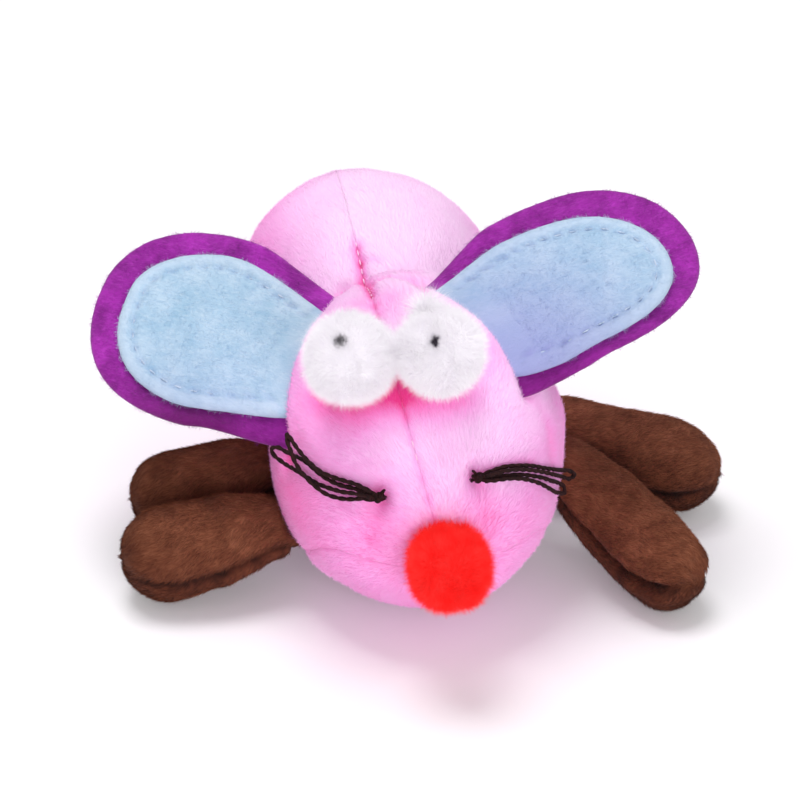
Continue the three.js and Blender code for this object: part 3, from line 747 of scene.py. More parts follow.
def plush_material(name, tints, root_shade, uneven, sheen):
    """Plush from its palest to its deepest tint, by the painted shade and random tone on the cloth and by
    each fibre.
    """
    material, node, shader = new_material(name, 0.85, sheen)
    own_place = node("ShaderNodeTexCoord").outputs["Object"]
    cloud = node("ShaderNodeTexNoise", {"Vector": own_place, "Scale": 230, "Detail": 4})
    # The deep pink is painted shade; the cloth's noise, each fibre and its darker root add tone to it
    shade_and_tone = attribute(node, "shade_and_tone")
    for value, share in (
        (cloud.outputs["Fac"], uneven),
        (attribute(node, "strand"), uneven),
        (attribute(node, "tip"), -root_shade),
    ):
        centred = {0: value, 1: share, 2: -share / 2}
        part = node("ShaderNodeMath", centred, operation="MULTIPLY_ADD").outputs[0]
        shade_and_tone = node("ShaderNodeMath", {0: shade_and_tone, 1: part}, operation="ADD").outputs[0]
    stops = [(k / (len(tints) - 1), tint) for k, tint in enumerate(tints)]
    wire(colour_ramp(node, shade_and_tone, stops), shader.inputs["Base Color"])
    return material


pink_tints = (255, 226, 253), (255, 208, 248), (255, 180, 238), (255, 138, 212), (246, 62, 152)
pink_plush = plush_material("pink_plush", pink_tints, 0.1, 0.12, 0.3)


def new_tree(name, output, **kinds):
    """A new geometry tree with inputs of those kinds, its node maker and what it is given."""
    tree = bpy.data.node_groups.new(name, "GeometryNodeTree")
    for key, kind in kinds.items():
        tree.interface.new_socket(key, in_out="INPUT", socket_type=f"NodeSocket{kind}")
    tree.interface.new_socket(output, in_out="OUTPUT", socket_type="NodeSocketGeometry")
    node = node_maker(tree)
    return tree, node, node("NodeGroupInput").outputs


def plant(node, points, shape, way, size, material):
    """A shape on each point with its Z turned along a way, sized, as one mesh of the material."""
    turn = node("FunctionNodeAlignRotationToVector", {"Vector": way}, axis="Z").outputs["Rotation"]
    planted = node("GeometryNodeInstanceOnPoints", {
        "Points": points, "Instance": shape, "Rotation": turn, "Scale": size.outputs[0],
    })
    real = node("GeometryNodeRealizeInstances", {"Geometry": planted.outputs["Instances"]})
    coloured = {"Geometry": real.outputs["Geometry"], "Material": material}
    return node("GeometryNodeSetMaterial", coloured).outputs["Geometry"]


def pile_tree():
    """Fibres that stand on a surface or lie along its comb direction, drawn to a point."""
    tree, node, given = new_tree(
        "laid_pile", "Fibres", Surface="Geometry", Density="Float", Length="Float", Width="Float",
        Lay="Float", Spread="Float", Seed="Int", Material="Material",
    )

    def number(operation, first, second):
        return node("ShaderNodeMath", {0: first, 1: second}, operation=operation).outputs[0]

    def scaled(way, share):
        return node("ShaderNodeVectorMath", {0: way, "Scale": share}, operation="SCALE").outputs[0]

    def added(first, second):
        return node("ShaderNodeVectorMath", {0: first, 1: second}, operation="ADD").outputs[0]

    def stored(geometry, key, value):
        kept = {"Geometry": geometry, "Name": key, "Value": value}
        kind = {"data_type": "FLOAT", "domain": "POINT"}
        return node("GeometryNodeStoreNamedAttribute", kept, **kind).outputs["Geometry"]

    keep = node("GeometryNodeInputNamedAttribute", {"Name": "keep"}, data_type="FLOAT").outputs[0]
    comb = node("GeometryNodeInputNamedAttribute", {"Name": "comb"}, data_type="FLOAT_VECTOR").outputs[0]
    scatter = node("GeometryNodeDistributePointsOnFaces", {
        "Mesh": given["Surface"],
        "Density": number("MULTIPLY", given["Density"], keep),
        "Seed": given["Seed"],
    })
    ends = {"Min": (-1, -1, -1), "Max": (1, 1, 1), "Seed": given["Seed"]}
    stray = node("FunctionNodeRandomValue", ends, data_type="FLOAT_VECTOR").outputs["Value"]
    standing = scaled(scatter.outputs["Normal"], number("SUBTRACT", 1, given["Lay"]))
    laid = scaled(comb, given["Lay"])
    way = added(added(standing, laid), scaled(stray, given["Spread"]))
    cone = {"Vertices": 3, "Radius Top": 0, "Radius Bottom": 0.5, "Depth": 1}
    fibre = node("GeometryNodeMeshCone", cone, fill_type="NONE").outputs["Mesh"]
    along = node("ShaderNodeSeparateXYZ", {0: node("GeometryNodeInputPosition").outputs[0]})
    fibre = stored(fibre, "tip", along.outputs["Z"])
    ends = {2: 0, 3: 1, "Seed": number("ADD", given["Seed"], 11)}
    points = stored(scatter.outputs["Points"], "strand", node("FunctionNodeRandomValue", ends).outputs[1])
    ends = {2: 0.6, 3: 1.15, "Seed": number("ADD", given["Seed"], 5)}
    uneven = node("FunctionNodeRandomValue", ends).outputs[1]
    size = node("ShaderNodeCombineXYZ", {
        "X": given["Width"], "Y": given["Width"], "Z": number("MULTIPLY", given["Length"], uneven),
    })
    node("NodeGroupOutput", {"Fibres": plant(node, points, fibre, way, size, given["Material"])})
    return tree


laid_pile = pile_tree()
pile_thin = 1.0


def pile_of(material, seed, density, length, width, lay, spread):
    """What the pile's tree is given, from fibres on a square millimetre and from millimetres."""
    return {
        "Density": density * pile_thin / mm**2, "Length": length * mm, "Width": width * mm,
        "Lay": lay, "Spread": spread, "Seed": seed, "Material": material,
    }


def grow(name, tree, ground, lowest=None, **settings):
    """A plain mesh piece made by a node tree on a ground object, which is then taken away."""
    modifier = ground.modifiers.new("grow", "NODES")
    modifier.node_group = tree
    for socket in tree.interface.items_tree:
        if socket.in_out == "INPUT" and socket.name in settings:
            modifier[socket.identifier] = settings[socket.name]
    ground.update_tag()
    graph = bpy.context.evaluated_depsgraph_get()
    grown = bpy.data.meshes.new_from_object(
        ground.evaluated_get(graph), preserve_all_data_layers=True, depsgraph=graph
    )
    grown.name = name
    bpy.data.objects.remove(ground)
    if lowest is not None:
        corners = np.empty(len(grown.vertices) * 3)
        grown.vertices.foreach_get("co", corners)
        corners[2::3] = np.maximum(corners[2::3], lowest)
        grown.vertices.foreach_set("co", corners)
    piece = bpy.data.objects.new(name, grown)
    bpy.context.scene.collection.objects.link(piece)
    return piece


def cloth_values(shade_and_tone):
    """What plush reads on the cloth itself, between the fibres."""
    return {"shade_and_tone": shade_and_tone, "strand": np.full(len(shade_and_tone), 0.5), "tip": np.full(len(shade_and_tone), 0.3)}


cover_puff = puffed_cover()
pink_pile = {"density": 11, "length": 1.15, "width": 0.085, "lay": 0.78, "spread": 0.22}
panel_nodes = {"left": "side_panel_left", "right": "side_panel_right", "belly": "belly_panel"}
for pile_seed, (name, node_name) in enumerate(panel_nodes.items(), 1):
    outer, normal, shade_and_tone = cover_panel(name)
    corners, faces = shell(outer, outer - cloth_thick * normal)
    values = cloth_values(np.tile(pole_grid(shade_and_tone)[0], 2))
    panel = new_piece(f"cover_{name}", corners, faces, pink_plush, values)
    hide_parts(node_name)
    lengthwise = unit(np.gradient(outer, axis=0))
    crosswise = unit(np.cross(normal, lengthwise))
    comb = unit(lengthwise + 0.35 * crosswise * (0.4 + wander(outer, 9, 6))[..., None])
    keep = np.clip(1.1 - 0.3 * shade_and_tone, 0.4, 1)
    corners, number = pole_grid(outer)
    values = {"shade_and_tone": pole_grid(shade_and_tone)[0], "keep": pole_grid(keep)[0], "comb": pole_grid(comb)[0]}
    ground = new_piece(f"pile_{name}_base", corners, quads(number), pink_plush, values)
    pile = grow(f"pile_{name}", laid_pile, ground, 0.0, **pile_of(pink_plush, pile_seed, **pink_pile))
    for piece in (panel, pile):
        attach(piece, "body")


# Stitches: pink sewing thread shows as short dashes in the back seam and in both belly seams.
def stitch_tree():
    """Short round stitches laid along a path at an even pitch."""
    tree, node, given = new_tree(
        "stitch_row", "Stitches", Path="Geometry", Pitch="Float", Length="Float", Thickness="Float",
        Material="Material",
    )
    curve = node("GeometryNodeMeshToCurve", {"Mesh": given["Path"]}).outputs["Curve"]
    points = node("GeometryNodeCurveToPoints", {"Curve": curve, "Length": given["Pitch"]}, mode="LENGTH")
    ball = node("GeometryNodeMeshUVSphere", {"Segments": 8, "Rings": 6, "Radius": 0.5}).outputs["Mesh"]
    size = node("ShaderNodeCombineXYZ", {
        "X": given["Thickness"], "Y": given["Thickness"], "Z": given["Length"],
    })
    way = points.outputs["Tangent"]
    stitches = plant(node, points.outputs["Points"], ball, way, size, given["Material"])
    node("NodeGroupOutput", {"Stitches": stitches})
    return tree


stitch_row = stitch_tree()


def stitch_piece(name, line, pitch, length, thickness, material):
    """A row of stitches of one pitch, length and thickness along a line."""
    path = bpy.data.meshes.new(f"{name}_path")
    path.from_pydata(place(line).tolist(), [(i, i + 1) for i in range(len(line) - 1)], [])
    ground = bpy.data.objects.new(f"{name}_path", path)
    bpy.context.scene.collection.objects.link(ground)
    sizes = {"Pitch": pitch * mm, "Length": length * mm, "Thickness": thickness * mm}
    piece = grow(name, stitch_row, ground, **sizes, Material=material)
    piece.data.polygons.foreach_set("use_smooth", [True] * len(piece.data.polygons))
    return piece


thread_pink = mottled_material("thread_pink", 0.7, 0.2, 1500, 2, (250, 190, 232), (255, 226, 246))
seam_stitch_sizes = 2.1, 1.3, 0.26
seam_stations = np.linspace(snout_y + 5, rear_y - 6, 90)
belly_stitch_lift = -1.15
belly_degrees = np.degrees(belly_angle(seam_stations))
back_stitch_lift = -cover_drop - 0.7 * np.interp(seam_stations, *zip(*back_seam_depths)) - 0.25
back_stitch_lift = back_stitch_lift + 0.6 * ease((14 - seam_stations) / 8)
seam_lines = {
    "back": on_body(seam_stations, np.zeros_like(seam_stations), back_stitch_lift),
    "belly_left": on_body(seam_stations, belly_degrees + roll_degrees, belly_stitch_lift),
    "belly_right": on_body(seam_stations, roll_degrees - belly_degrees, belly_stitch_lift),
}
for name, line in seam_lines.items():
    stitches = stitch_piece(f"seam_stitches_{name}", line, *seam_stitch_sizes, thread_pink)
    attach(stitches, "body")


# Eyes and nose: pom-poms of fine fibre, tied at the middle and clipped round, glued on the cover. A
# small tuft of black fibre is glued into each eye, and loose white fibre drifts where the eyes meet.
eye_plump = {"left": 0.2, "right": 0.5}
pupil_ways = {"left": (-0.26, -0.7, 0.66), "right": (-0.28, -0.54, 0.79)}
pupil_sizes = {"left": (0.95, 0.8, 1.1), "right": (0.95, 0.5, 0.65)}
pupil_fibres = {"left": 260, "right": 150}
pupil_slants = {"left": (0.3, 0, 0.4), "right": (0.4, 0, 0.1)}
pupil_sink = 0.1
nose_radius, nose_roundness = 6.6, 2.7
nose_centre = np.array((0, snout_y - 4.8, snout_z + 0.8))
# Number, length, thickness and lay of the fibres of each fluffy thing
eye_fluff = 22000, 2.4, 0.055, 0.45
nose_fluff = 22000, 2.2, 0.07, 0.55
pupil_fluff = 1.3, 0.06, 0.3
wisp_fluff = 0.045, 0.2


def wrapped(grid):
    """Corners of a round pole grid, and its corner numbers with the first column again at the end."""
    corners, number = pole_grid(grid)
    return corners, np.hstack([number, number[:, :1]])


def ball_grid(centre, radii, rows, columns, lump, seed, roundness=2.0):
    """A lumpy ball with its poles along Y; above 2 the roundness gives it flatter sides."""
    turn = np.pi * np.arange(rows + 1)[:, None] / rows
    angle = 2 * np.pi * np.arange(columns)[None, :] / columns
    way = [np.sin(turn) * np.sin(angle), -np.cos(turn) + 0 * angle, np.sin(turn) * np.cos(angle)]
    way = np.stack(way, axis=-1)
    way = way / (np.abs(way) ** roundness).sum(axis=-1)[..., None] ** (1 / roundness)
    grid = way * radii
    grid = grid * (1 + lump * wander(grid, np.max(radii) * 0.9, seed))[..., None]
    return centre + grid


def fibre_material(name, root, low, high, glow, sheen):
    """Fine loose fibre: paler towards the tips, with a faint painted glow of its palest tint for light
    passing through it.
    """
    material, node, shader = new_material(name, 0.9, sheen)
    tinted = mottle(node, 420, 2, low, high)
    wire(blend_colours(node, attribute(node, "tip"), colour(*root), tinted), shader.inputs["Base Color"])
    # Painted glow: the fibre gives off a little light of its own
    shader.inputs["Emission Color"].default_value = colour(*high)
    shader.inputs["Emission Strength"].default_value = glow
    return material


def pompom(name, centre, radii, material, finish, seed, fibres, length, width, lay, roundness=2.0):
    """Core of a pom-pom, after matted and clipped fibres have been grown on it too."""
    radii = np.broadcast_to(np.asarray(radii, float), 3)
    inner = radii - length * (1 - lay) * 0.9
    corners, number = wrapped(ball_grid(centre, inner, 36, 54, 0.05, seed, roundness))
    faces = quads(number)
    core = new_piece(f"{name}_core", corners, faces, material, {"tip": np.full(len(corners), 0.5)})
    swirl = np.stack([wander(corners, radii.max() * 0.45, seed + k) for k in (1, 2, 3)], axis=-1)
    outward = unit(corners - centre)
    comb = unit(swirl - (swirl * outward).sum(axis=-1)[:, None] * outward)
    values = {"keep": np.ones(len(corners)), "comb": comb}
    ground = new_piece(f"{name}_base", corners, faces, material, values)
    density = fibres / (4 * np.pi * np.mean(inner) ** 2)
    pile = pile_of(material, seed, density, length, width, lay, 0.5)
    for piece in (core, grow(f"{name}_fibres", laid_pile, ground, 0.0, **pile)):
        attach(piece, "body")
    return core


# The white and red fibres carry a faint painted glow
white_fibre = fibre_material("white_fibre", (241, 237, 243), (248, 245, 249), (254, 252, 254), 0.085, 0.2)
red_fibre = fibre_material("red_fibre", (230, 0, 0), (253, 0, 0), (255, 74, 70), 0.15, 0.0)
black_fibre = fibre_material("black_fibre", (46, 38, 50), (66, 56, 70), (112, 102, 118), 0.0, 0.0)
white, black = (white_fibre, "white_pompom"), (black_fibre, "black_thread")

for side, centre in eye_centres.items():
    seed = len(side)
    core = pompom(f"eye_{side}", centre, eye_radius + eye_plump[side], *white, 20 + seed, *eye_fluff)
    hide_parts(f"eye_pompom_{side}")
    size, fibres = np.array(pupil_sizes[side]), pupil_fibres[side]
    middle = centre + unit(np.array(pupil_ways[side])) * (eye_radius - pupil_sink)
    core = pompom(f"pupil_{side}", middle, size, *black, 30 + seed, fibres, *pupil_fluff)
    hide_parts(f"pupil_{side}")
    middle = middle + pupil_slants[side]
    pompom(f"pupil_end_{side}", middle, size * 0.75, *black, 40 + seed, fibres // 2, *pupil_fluff)

between_eyes = (eye_centres["left"] + eye_centres["right"]) / 2
beside_eye = eye_centres["left"] + (-1.6, 4.4, 5.0)
pompom("eyes_wisp_middle", between_eyes + (0, -0.4, 1.0), 4.0, *white, 35, 3600, 3.6, *wisp_fluff)
pompom("eyes_wisp_upper", beside_eye, 3.6, *white, 35, 2800, 4.8, *wisp_fluff)
red = red_fibre, "red_pompom"
core = pompom("nose", nose_centre, nose_radius - 0.3, *red, 41, *nose_fluff, nose_roundness)
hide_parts("nose_pompom")


# Ears: a purple back layer and a smaller pale-blue front layer of craft felt, joined by a row of
# running stitch inside the blue edge, and sewn into a dart of the cover from cheek to nape.
ear_margin, front_back = 3.5, 2.2
ear_back_thick, ear_front_thick, felt_gap = 1.6, 1.4, 0.08
ear_root_depth, dart_radius = 3.3, 4.2
# Each ear's size above and below its middle line, the forms of its edge and tip, the way it stands
# out, how much lower its blue layer lies and how much narrower that layer is, and its shaded spot
ear_forms = {
    "left": {
        "length": 39.2, "upper": 17.1, "lower": 14.9, "flare": -1.8, "bend": 0.92, "tip": 1.4,
        "out": (0.96, 0.22, 0.13), "drop": 2.2, "narrow": (1.4, 0.0),
        "shade": (3, -13, 19, 0.6, 0.9), "seed": 51,
    },
    "right": {
        "length": 38.1, "upper": 18.9, "lower": 17.2, "flare": -3.4, "bend": 1.0, "tip": 5.5,
        "out": (-0.83, 0.54, 0.01), "drop": 1.3, "narrow": (2.2, 2.2),
        "shade": (12, -20, 13, 0.9, 0.3), "seed": 61,
    },
}
ear_stitch_inset, ear_stitch_sink = 2.6, 0.36
ear_stitch_sizes = 2.7, 1.8, 0.3
quilt_count, quilt_depth = 30, 0.6
felt_top_rows, felt_bottom_rows = 30, 14
felt_leans = 90, 60, 30, 0, -30, -60, -90
root_bend = 13.0
felt_pile = {"density": 9, "length": 0.8, "width": 0.04, "lay": 0.75, "spread": 0.35}
bare_root = 3.5


def bezier(start, leave, arrive, end, count):
    t = np.linspace(0, 1, count, endpoint=False)[:, None]
    start, leave, arrive, end = (np.asarray(p, float) for p in (start, leave, arrive, end))
    return start * (1 - t) ** 3 + 3 * leave * t * (1 - t) ** 2 + 3 * arrive * t * t * (1 - t) + end * t**3


def ear_outline(form, shrink, back, drop, narrow, root_slope):
    """Even points round one felt layer, from the lower root corner over the tip to the upper one."""
    long, tip = form["length"] - shrink, form["tip"]
    upper, lower = form["upper"] - shrink, form["lower"] - shrink
    bent = -lower * form["bend"]
    inner = 2 * dart_radius
    shoulder = tip + 0.6 * (upper - tip)
    corners = np.vstack([
        np.linspace((-inner, -lower - form["flare"]), (0.35 * long, -lower), 20, endpoint=False),
        bezier((0.35 * long, -lower), (0.74 * long, bent), (long, -0.62 * lower), (long, tip), 24),
        bezier((long, tip), (long, shoulder), (0.8 * long, upper), (0.54 * long, upper), 24),
        bezier(
            (0.54 * long, upper), (0.3 * long, upper), (0.12 * long, 0.86 * upper), (0, 0.72 * upper), 24,
        ),
        np.linspace((0, 0.72 * upper), (-inner, 0.45 * upper), 8),
    ])
    rooted = 1 - ease(corners[:, 0] / (0.6 * long))
    corners[:, 1] += rooted * np.where(corners[:, 1] < 0, narrow[0], -narrow[1])
    corners = corners - (back, drop)
    corners[:, 0] = np.maximum(corners[:, 0], root_slope * corners[:, 1] - ear_root_depth)
    closed = np.vstack([corners, corners[:1]])
    run = np.concatenate([[0], np.cumsum(np.linalg.norm(np.diff(closed, axis=0), axis=1))])
    even = np.linspace(0, run[-1], 220, endpoint=False)
    return np.stack([np.interp(even, run, closed[:, 0]), np.interp(even, run, closed[:, 1])], axis=1)


def felt_grid(outline, centre, low, high):
    """A flat layer of felt with a rounded edge, as rows from the middle of its top to that of its bottom."""
    half, middle = (high - low) / 2, (high + low) / 2
    inward = centre - outline
    reach = np.linalg.norm(inward, axis=1)[:, None]
    rows = []
    for share in np.linspace(0, 1, felt_top_rows, endpoint=False):
        rim = outline + inward / reach * half
        rows.append(np.column_stack([centre + (rim - centre) * share, np.full(len(outline), high)]))
    for lean in np.radians(felt_leans):
        edge = outline + inward / reach * half * (1 - math.cos(lean))
        rows.append(np.column_stack([edge, np.full(len(outline), middle + half * math.sin(lean))]))
    for share in np.linspace(1, 0, felt_bottom_rows + 1)[1:]:
        rim = outline + inward / reach * half
        rows.append(np.column_stack([centre + (rim - centre) * share, np.full(len(outline), low)]))
    return np.array(rows)


def felt_material(name, low, high, pale, dark, rim, shaded):
    """Pressed wool felt: mottled with matted fibre, paler along its rim and deeper where shaded."""
    material, node, shader = new_material(name, 0.95, 0.15)
    matted = mottle(node, 190, 5, low, high)
    grain = attribute(node, "grain", "Vector")
    for scale, tint, strength in ((1.5, pale, 0.55), (2.4, dark, 0.5)):
        placed = node("ShaderNodeMapping", {
            "Vector": grain, "Location": (7 * scale, 3 * scale, 0), "Scale": (0.5, 1.3, 1),
        })
        streaks = node("ShaderNodeTexNoise", {
            "Vector": placed.outputs["Vector"], "Scale": scale, "Detail": 5, "Roughness": 0.7,
        }).outputs["Fac"]
        share = node("ShaderNodeMapRange", {
            "Value": streaks, "From Min": 0.48, "From Max": 0.75, "To Max": strength,
        })
        matted = blend_colours(node, share.outputs["Result"], matted, colour(*tint))
    for key, tint in (("rim", rim), ("shade", shaded)):
        matted = blend_colours(node, attribute(node, key), matted, colour(*tint))
    wire(matted, shader.inputs["Base Color"])
    bump = node("ShaderNodeBump", {"Height": streaks, "Strength": 0.7, "Distance": 0.0003})
    wire(bump.outputs["Normal"], shader.inputs["Normal"])
    return material


purple_felt = felt_material(
    "purple_felt", low=(126, 20, 130), high=(178, 46, 182), pale=(200, 72, 206), dark=(100, 12, 100),
    rim=(190, 60, 196), shaded=(96, 10, 88),
)
# The blue's shaded tint is lavender: painted shade with the pink body's reflected light in it
blue_felt = felt_material(
    "blue_felt", low=(160, 194, 220), high=(192, 214, 234), pale=(212, 226, 240), dark=(138, 178, 210),
    rim=(204, 220, 238), shaded=(152, 156, 208),
)
thread_pale = mottled_material("thread_pale", 0.7, 0.2, 1500, 2, (150, 172, 200), (206, 216, 232))

for side, form in ear_forms.items():
    (low_y, low_degrees), (high_y, high_degrees) = ear_roots[side]
    sign = 1 if side == "left" else -1
    low, high = on_body(low_y, low_degrees), on_body(high_y, high_degrees)
    middle = on_body((low_y + high_y) / 2, (low_degrees + high_degrees) / 2)
    along = unit(high - low)
    half_root = np.linalg.norm(high - low) / 2
    out = unit(np.array(form["out"]))
    up_way = unit(np.cross(out, along) * sign)
    across = np.cross(up_way, out)
    across = across if across @ along > 0 else -across
    root_slope = (along @ out) / (along @ across)
    back_low = -(ear_back_thick + 0.3 + ear_front_thick) / 2
    back_high = back_low + ear_back_thick
    front_low = back_high + felt_gap
    front_high = front_low + ear_front_thick
    front_outline = ear_outline(form, ear_margin, front_back, form["drop"], form["narrow"], root_slope)
    ear_centre = np.array([0.47 * form["length"], 1.5])

    def ear_point(flat, height):
        """Place of a point of the ear given along it, across it and over its middle layer."""
        t, s = flat[..., 0], flat[..., 1]
        wave = 0.7 * wander(np.stack([t, s, 0 * t], axis=-1), 17, form["seed"])
        wave = wave + 0.25 * wander(np.stack([t, s, 0 * t], axis=-1), 7, form["seed"] + 1)
        wave = wave * ease(t / 14)
        from_root = t - root_slope * s
        share = np.clip(0.5 + s / (across @ along) / (2 * half_root), -0.4, 1.2)
        sewn_y = low_y + (high_y - low_y) * share
        sewn = on_body(sewn_y, low_degrees + (high_degrees - low_degrees) * share, -0.6)
        straight = middle + t[..., None] * out + s[..., None] * across
        hinge = middle + (root_slope * s)[..., None] * out + s[..., None] * across
        bend = (1 - ease(from_root / root_bend))[..., None]
        return straight + (height + wave)[..., None] * up_way + bend * (sewn - hinge)

    def ear_layer(outline, low_height, high_height, quilted):
        """Flat grid of one felt layer, its place in the toy, and how pale and how shaded it is."""
        grid = felt_grid(outline, ear_centre, low_height, high_height)
        top = np.arange(len(grid))[:, None] <= felt_top_rows + len(felt_leans) // 2
        height = grid[..., 2] + 0.07 * wander(grid, 1.7, form["seed"] + 2)
        if quilted:
            closed = np.vstack([outline, outline[:1]])
            edge = distance_to_line(grid[..., :2], closed)
            edge = np.where(grid[..., 0] - root_slope * grid[..., 1] < 1, 9, edge)
            turn = 2 * np.pi * np.arange(grid.shape[1]) * quilt_count / grid.shape[1]
            groove = quilt_depth * (0.6 + 0.4 * np.cos(turn)) * bell(edge - ear_stitch_inset, 0.55)
            rim = 0.3 * bell(edge - 1.3, 0.8)
            height = height + np.where(top, rim - groove, 0)
            pale = 0.5 * ease((ear_stitch_inset - 0.1 - edge) / 0.8) - 0.6 * groove / quilt_depth
        else:
            pale = np.zeros(grid.shape[:2])
        # Painted shade: a soft spot near the ear's root, and the groove of the stitches
        shade_t, shade_s, shade_size, *shade_shares = form["shade"]
        away = np.hypot(grid[..., 0] - shade_t, grid[..., 1] - shade_s)
        shade = shade_shares[quilted] * bell(away, shade_size) + 0.25 * np.clip(-pale, 0, 1)
        return grid, ear_point(grid[..., :2], height), np.clip(pale, 0, 1), shade

    back_outline = ear_outline(form, 0, 0, 0, (0, 0), root_slope)
    flip = np.cross(out, across) @ up_way < 0
    pieces = []
    for layer, outline, low_height, high_height, felt in (
        ("back", back_outline, back_low, back_high, purple_felt),
        ("front", front_outline, front_low, front_high, blue_felt),
    ):
        flat, grid, pale, shade = ear_layer(outline, low_height, high_height, layer == "front")
        corners, number = wrapped(grid)
        values = {
            "grain": wrapped(flat * (1, 1, 0) + (0, 0, form["seed"]))[0],
            "rim": wrapped(pale)[0],
            "shade": wrapped(shade)[0],
        }
        felt_piece = new_piece(f"ear_{layer}_felt_{side}", corners, quads(number, not flip), felt, values)
        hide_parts(f"ear_{layer}_{side}")
        swirl = np.stack([wander(corners, 1.5, form["seed"] + k) for k in (3, 4)], axis=-1)
        values["comb"] = unit(swirl[:, :1] * out + swirl[:, 1:] * across)
        from_root = flat[..., 0] - root_slope * flat[..., 1]
        values["keep"] = (wrapped(from_root)[0] > bare_root).astype(float)
        ground = new_piece(f"{side}_{layer}_base", corners, quads(number, not flip), felt, values)
        pile = pile_of(felt, form["seed"], **felt_pile)
        fuzz = grow(f"ear_{layer}_fuzz_{side}", laid_pile, ground, 0.0, **pile)
        pieces += [felt_piece, fuzz]

    stitched = front_outline + unit(ear_centre - front_outline) * ear_stitch_inset * 1.06
    kept = stitched[:, 0] - root_slope * stitched[:, 1] > 1.5
    first = int(np.argmax(kept & ~np.roll(kept, 1)))
    row = np.roll(stitched, -first, axis=0)[: int(kept.sum())]
    row = ear_point(row, np.full(len(row), front_high - ear_stitch_sink))
    stitches = stitch_piece(f"ear_stitches_{side}", row, *ear_stitch_sizes, thread_pale)
    for piece in pieces + [stitches]:
        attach(piece, f"ear_{side}")


# Legs: tubes of brown plush with a seam along each side, loosely filled, swelling from a sewn root in
# the belly seam; they bend as they leave it and lie on the floor, and their roots bunch at the body.
leg_root_half_width, leg_root_half_thick = 5.4, 2.0
leg_half_width, leg_half_height, leg_outset = 7.9, 8.9, 8.0
leg_swell_share, leg_toe_roundness = 0.52, 2.5
leg_seat, leg_drop, leg_root_depth = 0.3, 0.35, 2.4
leg_fill_inset, leg_fill_start = 3.2, 14.0
bunch_half_thick, bunch_run, bend_run = 5.0, 3.0, 8.5
# Each leg's side, its root's station, its sweep to the front in degrees, its length and thickness,
# the share of its length where it is full, the arch over its root, its side seam and the seam's groove
leg_forms = {
    "front_left": {
        "sign": 1, "station": 16, "sweep": 64, "length": 37.5, "girth": 0.93,
        "plump": 0.9, "arch": 5.4, "seam": -3, "groove": (0.78, 1.7), "seed": 71,
    },
    "front_right": {
        "sign": -1, "station": 11.5, "sweep": 0, "length": 28.5, "girth": 1.0,
        "plump": 0.9, "arch": 0.8, "seam": -14, "groove": (0.35, 1.9), "seed": 72,
    },
    "rear_left": {
        "sign": 1, "station": 37, "sweep": 30, "length": 39, "girth": 1.0,
        "plump": 0.6, "arch": 1.0, "seam": -14, "groove": (0.4, 0.9), "seed": 73,
    },
    "rear_right": {
        "sign": -1, "station": 30, "sweep": 2, "length": 26, "girth": 0.97,
        "plump": 0.7, "arch": 0.3, "seam": -14, "groove": (0.3, 0.9), "seed": 74,
    },
}
leg_rows, leg_columns = 76, 72
# How much darker the lower front side of each rear leg is, in the shade of the leg before it
leg_shades = {"front_left": 0.0, "front_right": 0.0, "rear_left": 0.6, "rear_right": 0.2}


def leg_surface(form, inset, start, rows, columns, bunch=0.0):
    """Rings of a leg from its root to its toe, with each point's way to the seam, swell and run."""
    station, sign, length = form["station"], form["sign"], form["length"]
    full_width, full_height = leg_half_width * form["girth"], leg_half_height * form["girth"]
    reach = []
    for y in (station - leg_root_half_width, station, station + leg_root_half_width):
        width, height, middle = body_section(y)
        drop = (middle - belly_seam_z) / height
        reach.append(width * (1 - drop**lower_roundness) ** (1 / lower_roundness))
    root = np.array([sign * (max(reach) + leg_seat), station])
    sweep = math.radians(form["sweep"])
    bend = root + (sign * leg_outset, 0)
    foot = bend + np.array([sign * math.cos(sweep), -math.sin(sweep)]) * (length - leg_outset)
    end = length - inset
    run = start + (end - start) * (1 - np.cos(np.pi * np.arange(rows + 1) / rows)) / 2
    share = (run / length)[:, None]
    curve = root * (1 - share) ** 2 + 2 * bend * share * (1 - share) + foot * share**2
    heading = unit(2 * (bend - root) * (1 - share) + 2 * (foot - bend) * np.maximum(share, 0))
    swell = ease(share / leg_swell_share)
    cap_start = length - full_height
    past = np.clip((run - cap_start) / (end - cap_start), 0, 1)[:, None]
    cap = (1 - past**leg_toe_roundness) ** (1 / leg_toe_roundness)
    bunched = bunch * ease(run / bunch_run)[:, None]
    thin = leg_root_half_thick + (bunch_half_thick - leg_root_half_thick) * bunched
    plump = ease(share / form["plump"])
    wide = (leg_root_half_width + (full_width - leg_root_half_width) * swell - inset) * cap
    high = (thin + (full_height - thin) * plump - inset) * cap
    rise = belly_seam_z + (full_height - floor_flat - belly_seam_z) * plump
    rise = rise + form["arch"] * ease(share / 0.22) * (1 - ease((share - 0.22) / 0.72))
    angle = 2 * np.pi * np.arange(columns)[None, :] / columns
    sideways = wide * np.cos(angle)
    grid = np.stack([
        curve[:, :1] - heading[:, 1:] * sideways,
        curve[:, 1:] + heading[:, :1] * sideways,
        rise + high * np.sin(angle),
    ], axis=-1)
    seam = math.radians(form["seam"])
    from_near_seam = np.abs((angle - seam + np.pi) % (2 * np.pi) - np.pi)
    to_seam = np.minimum(np.abs(angle - np.pi + seam), from_near_seam)
    flat = np.ones_like(sideways)
    return grid, to_seam * (wide + high) / 2, swell * flat, run[:, None] * flat, root


def ring_normals(grid):
    """Outward directions of a grid that closes round its columns."""
    crosswise = np.roll(grid, -1, axis=1) - np.roll(grid, 1, axis=1)
    return unit(np.cross(crosswise, np.gradient(grid, axis=0)))


brown_tints = (164, 104, 78), (136, 80, 56), (112, 60, 40), (82, 39, 26), (40, 15, 10)
brown_plush = plush_material("brown_plush", brown_tints, 0.2, 0.42, 0.05)
brown_pile = {"density": 19, "length": 1.2, "width": 0.09, "lay": 0.8, "spread": 0.24}

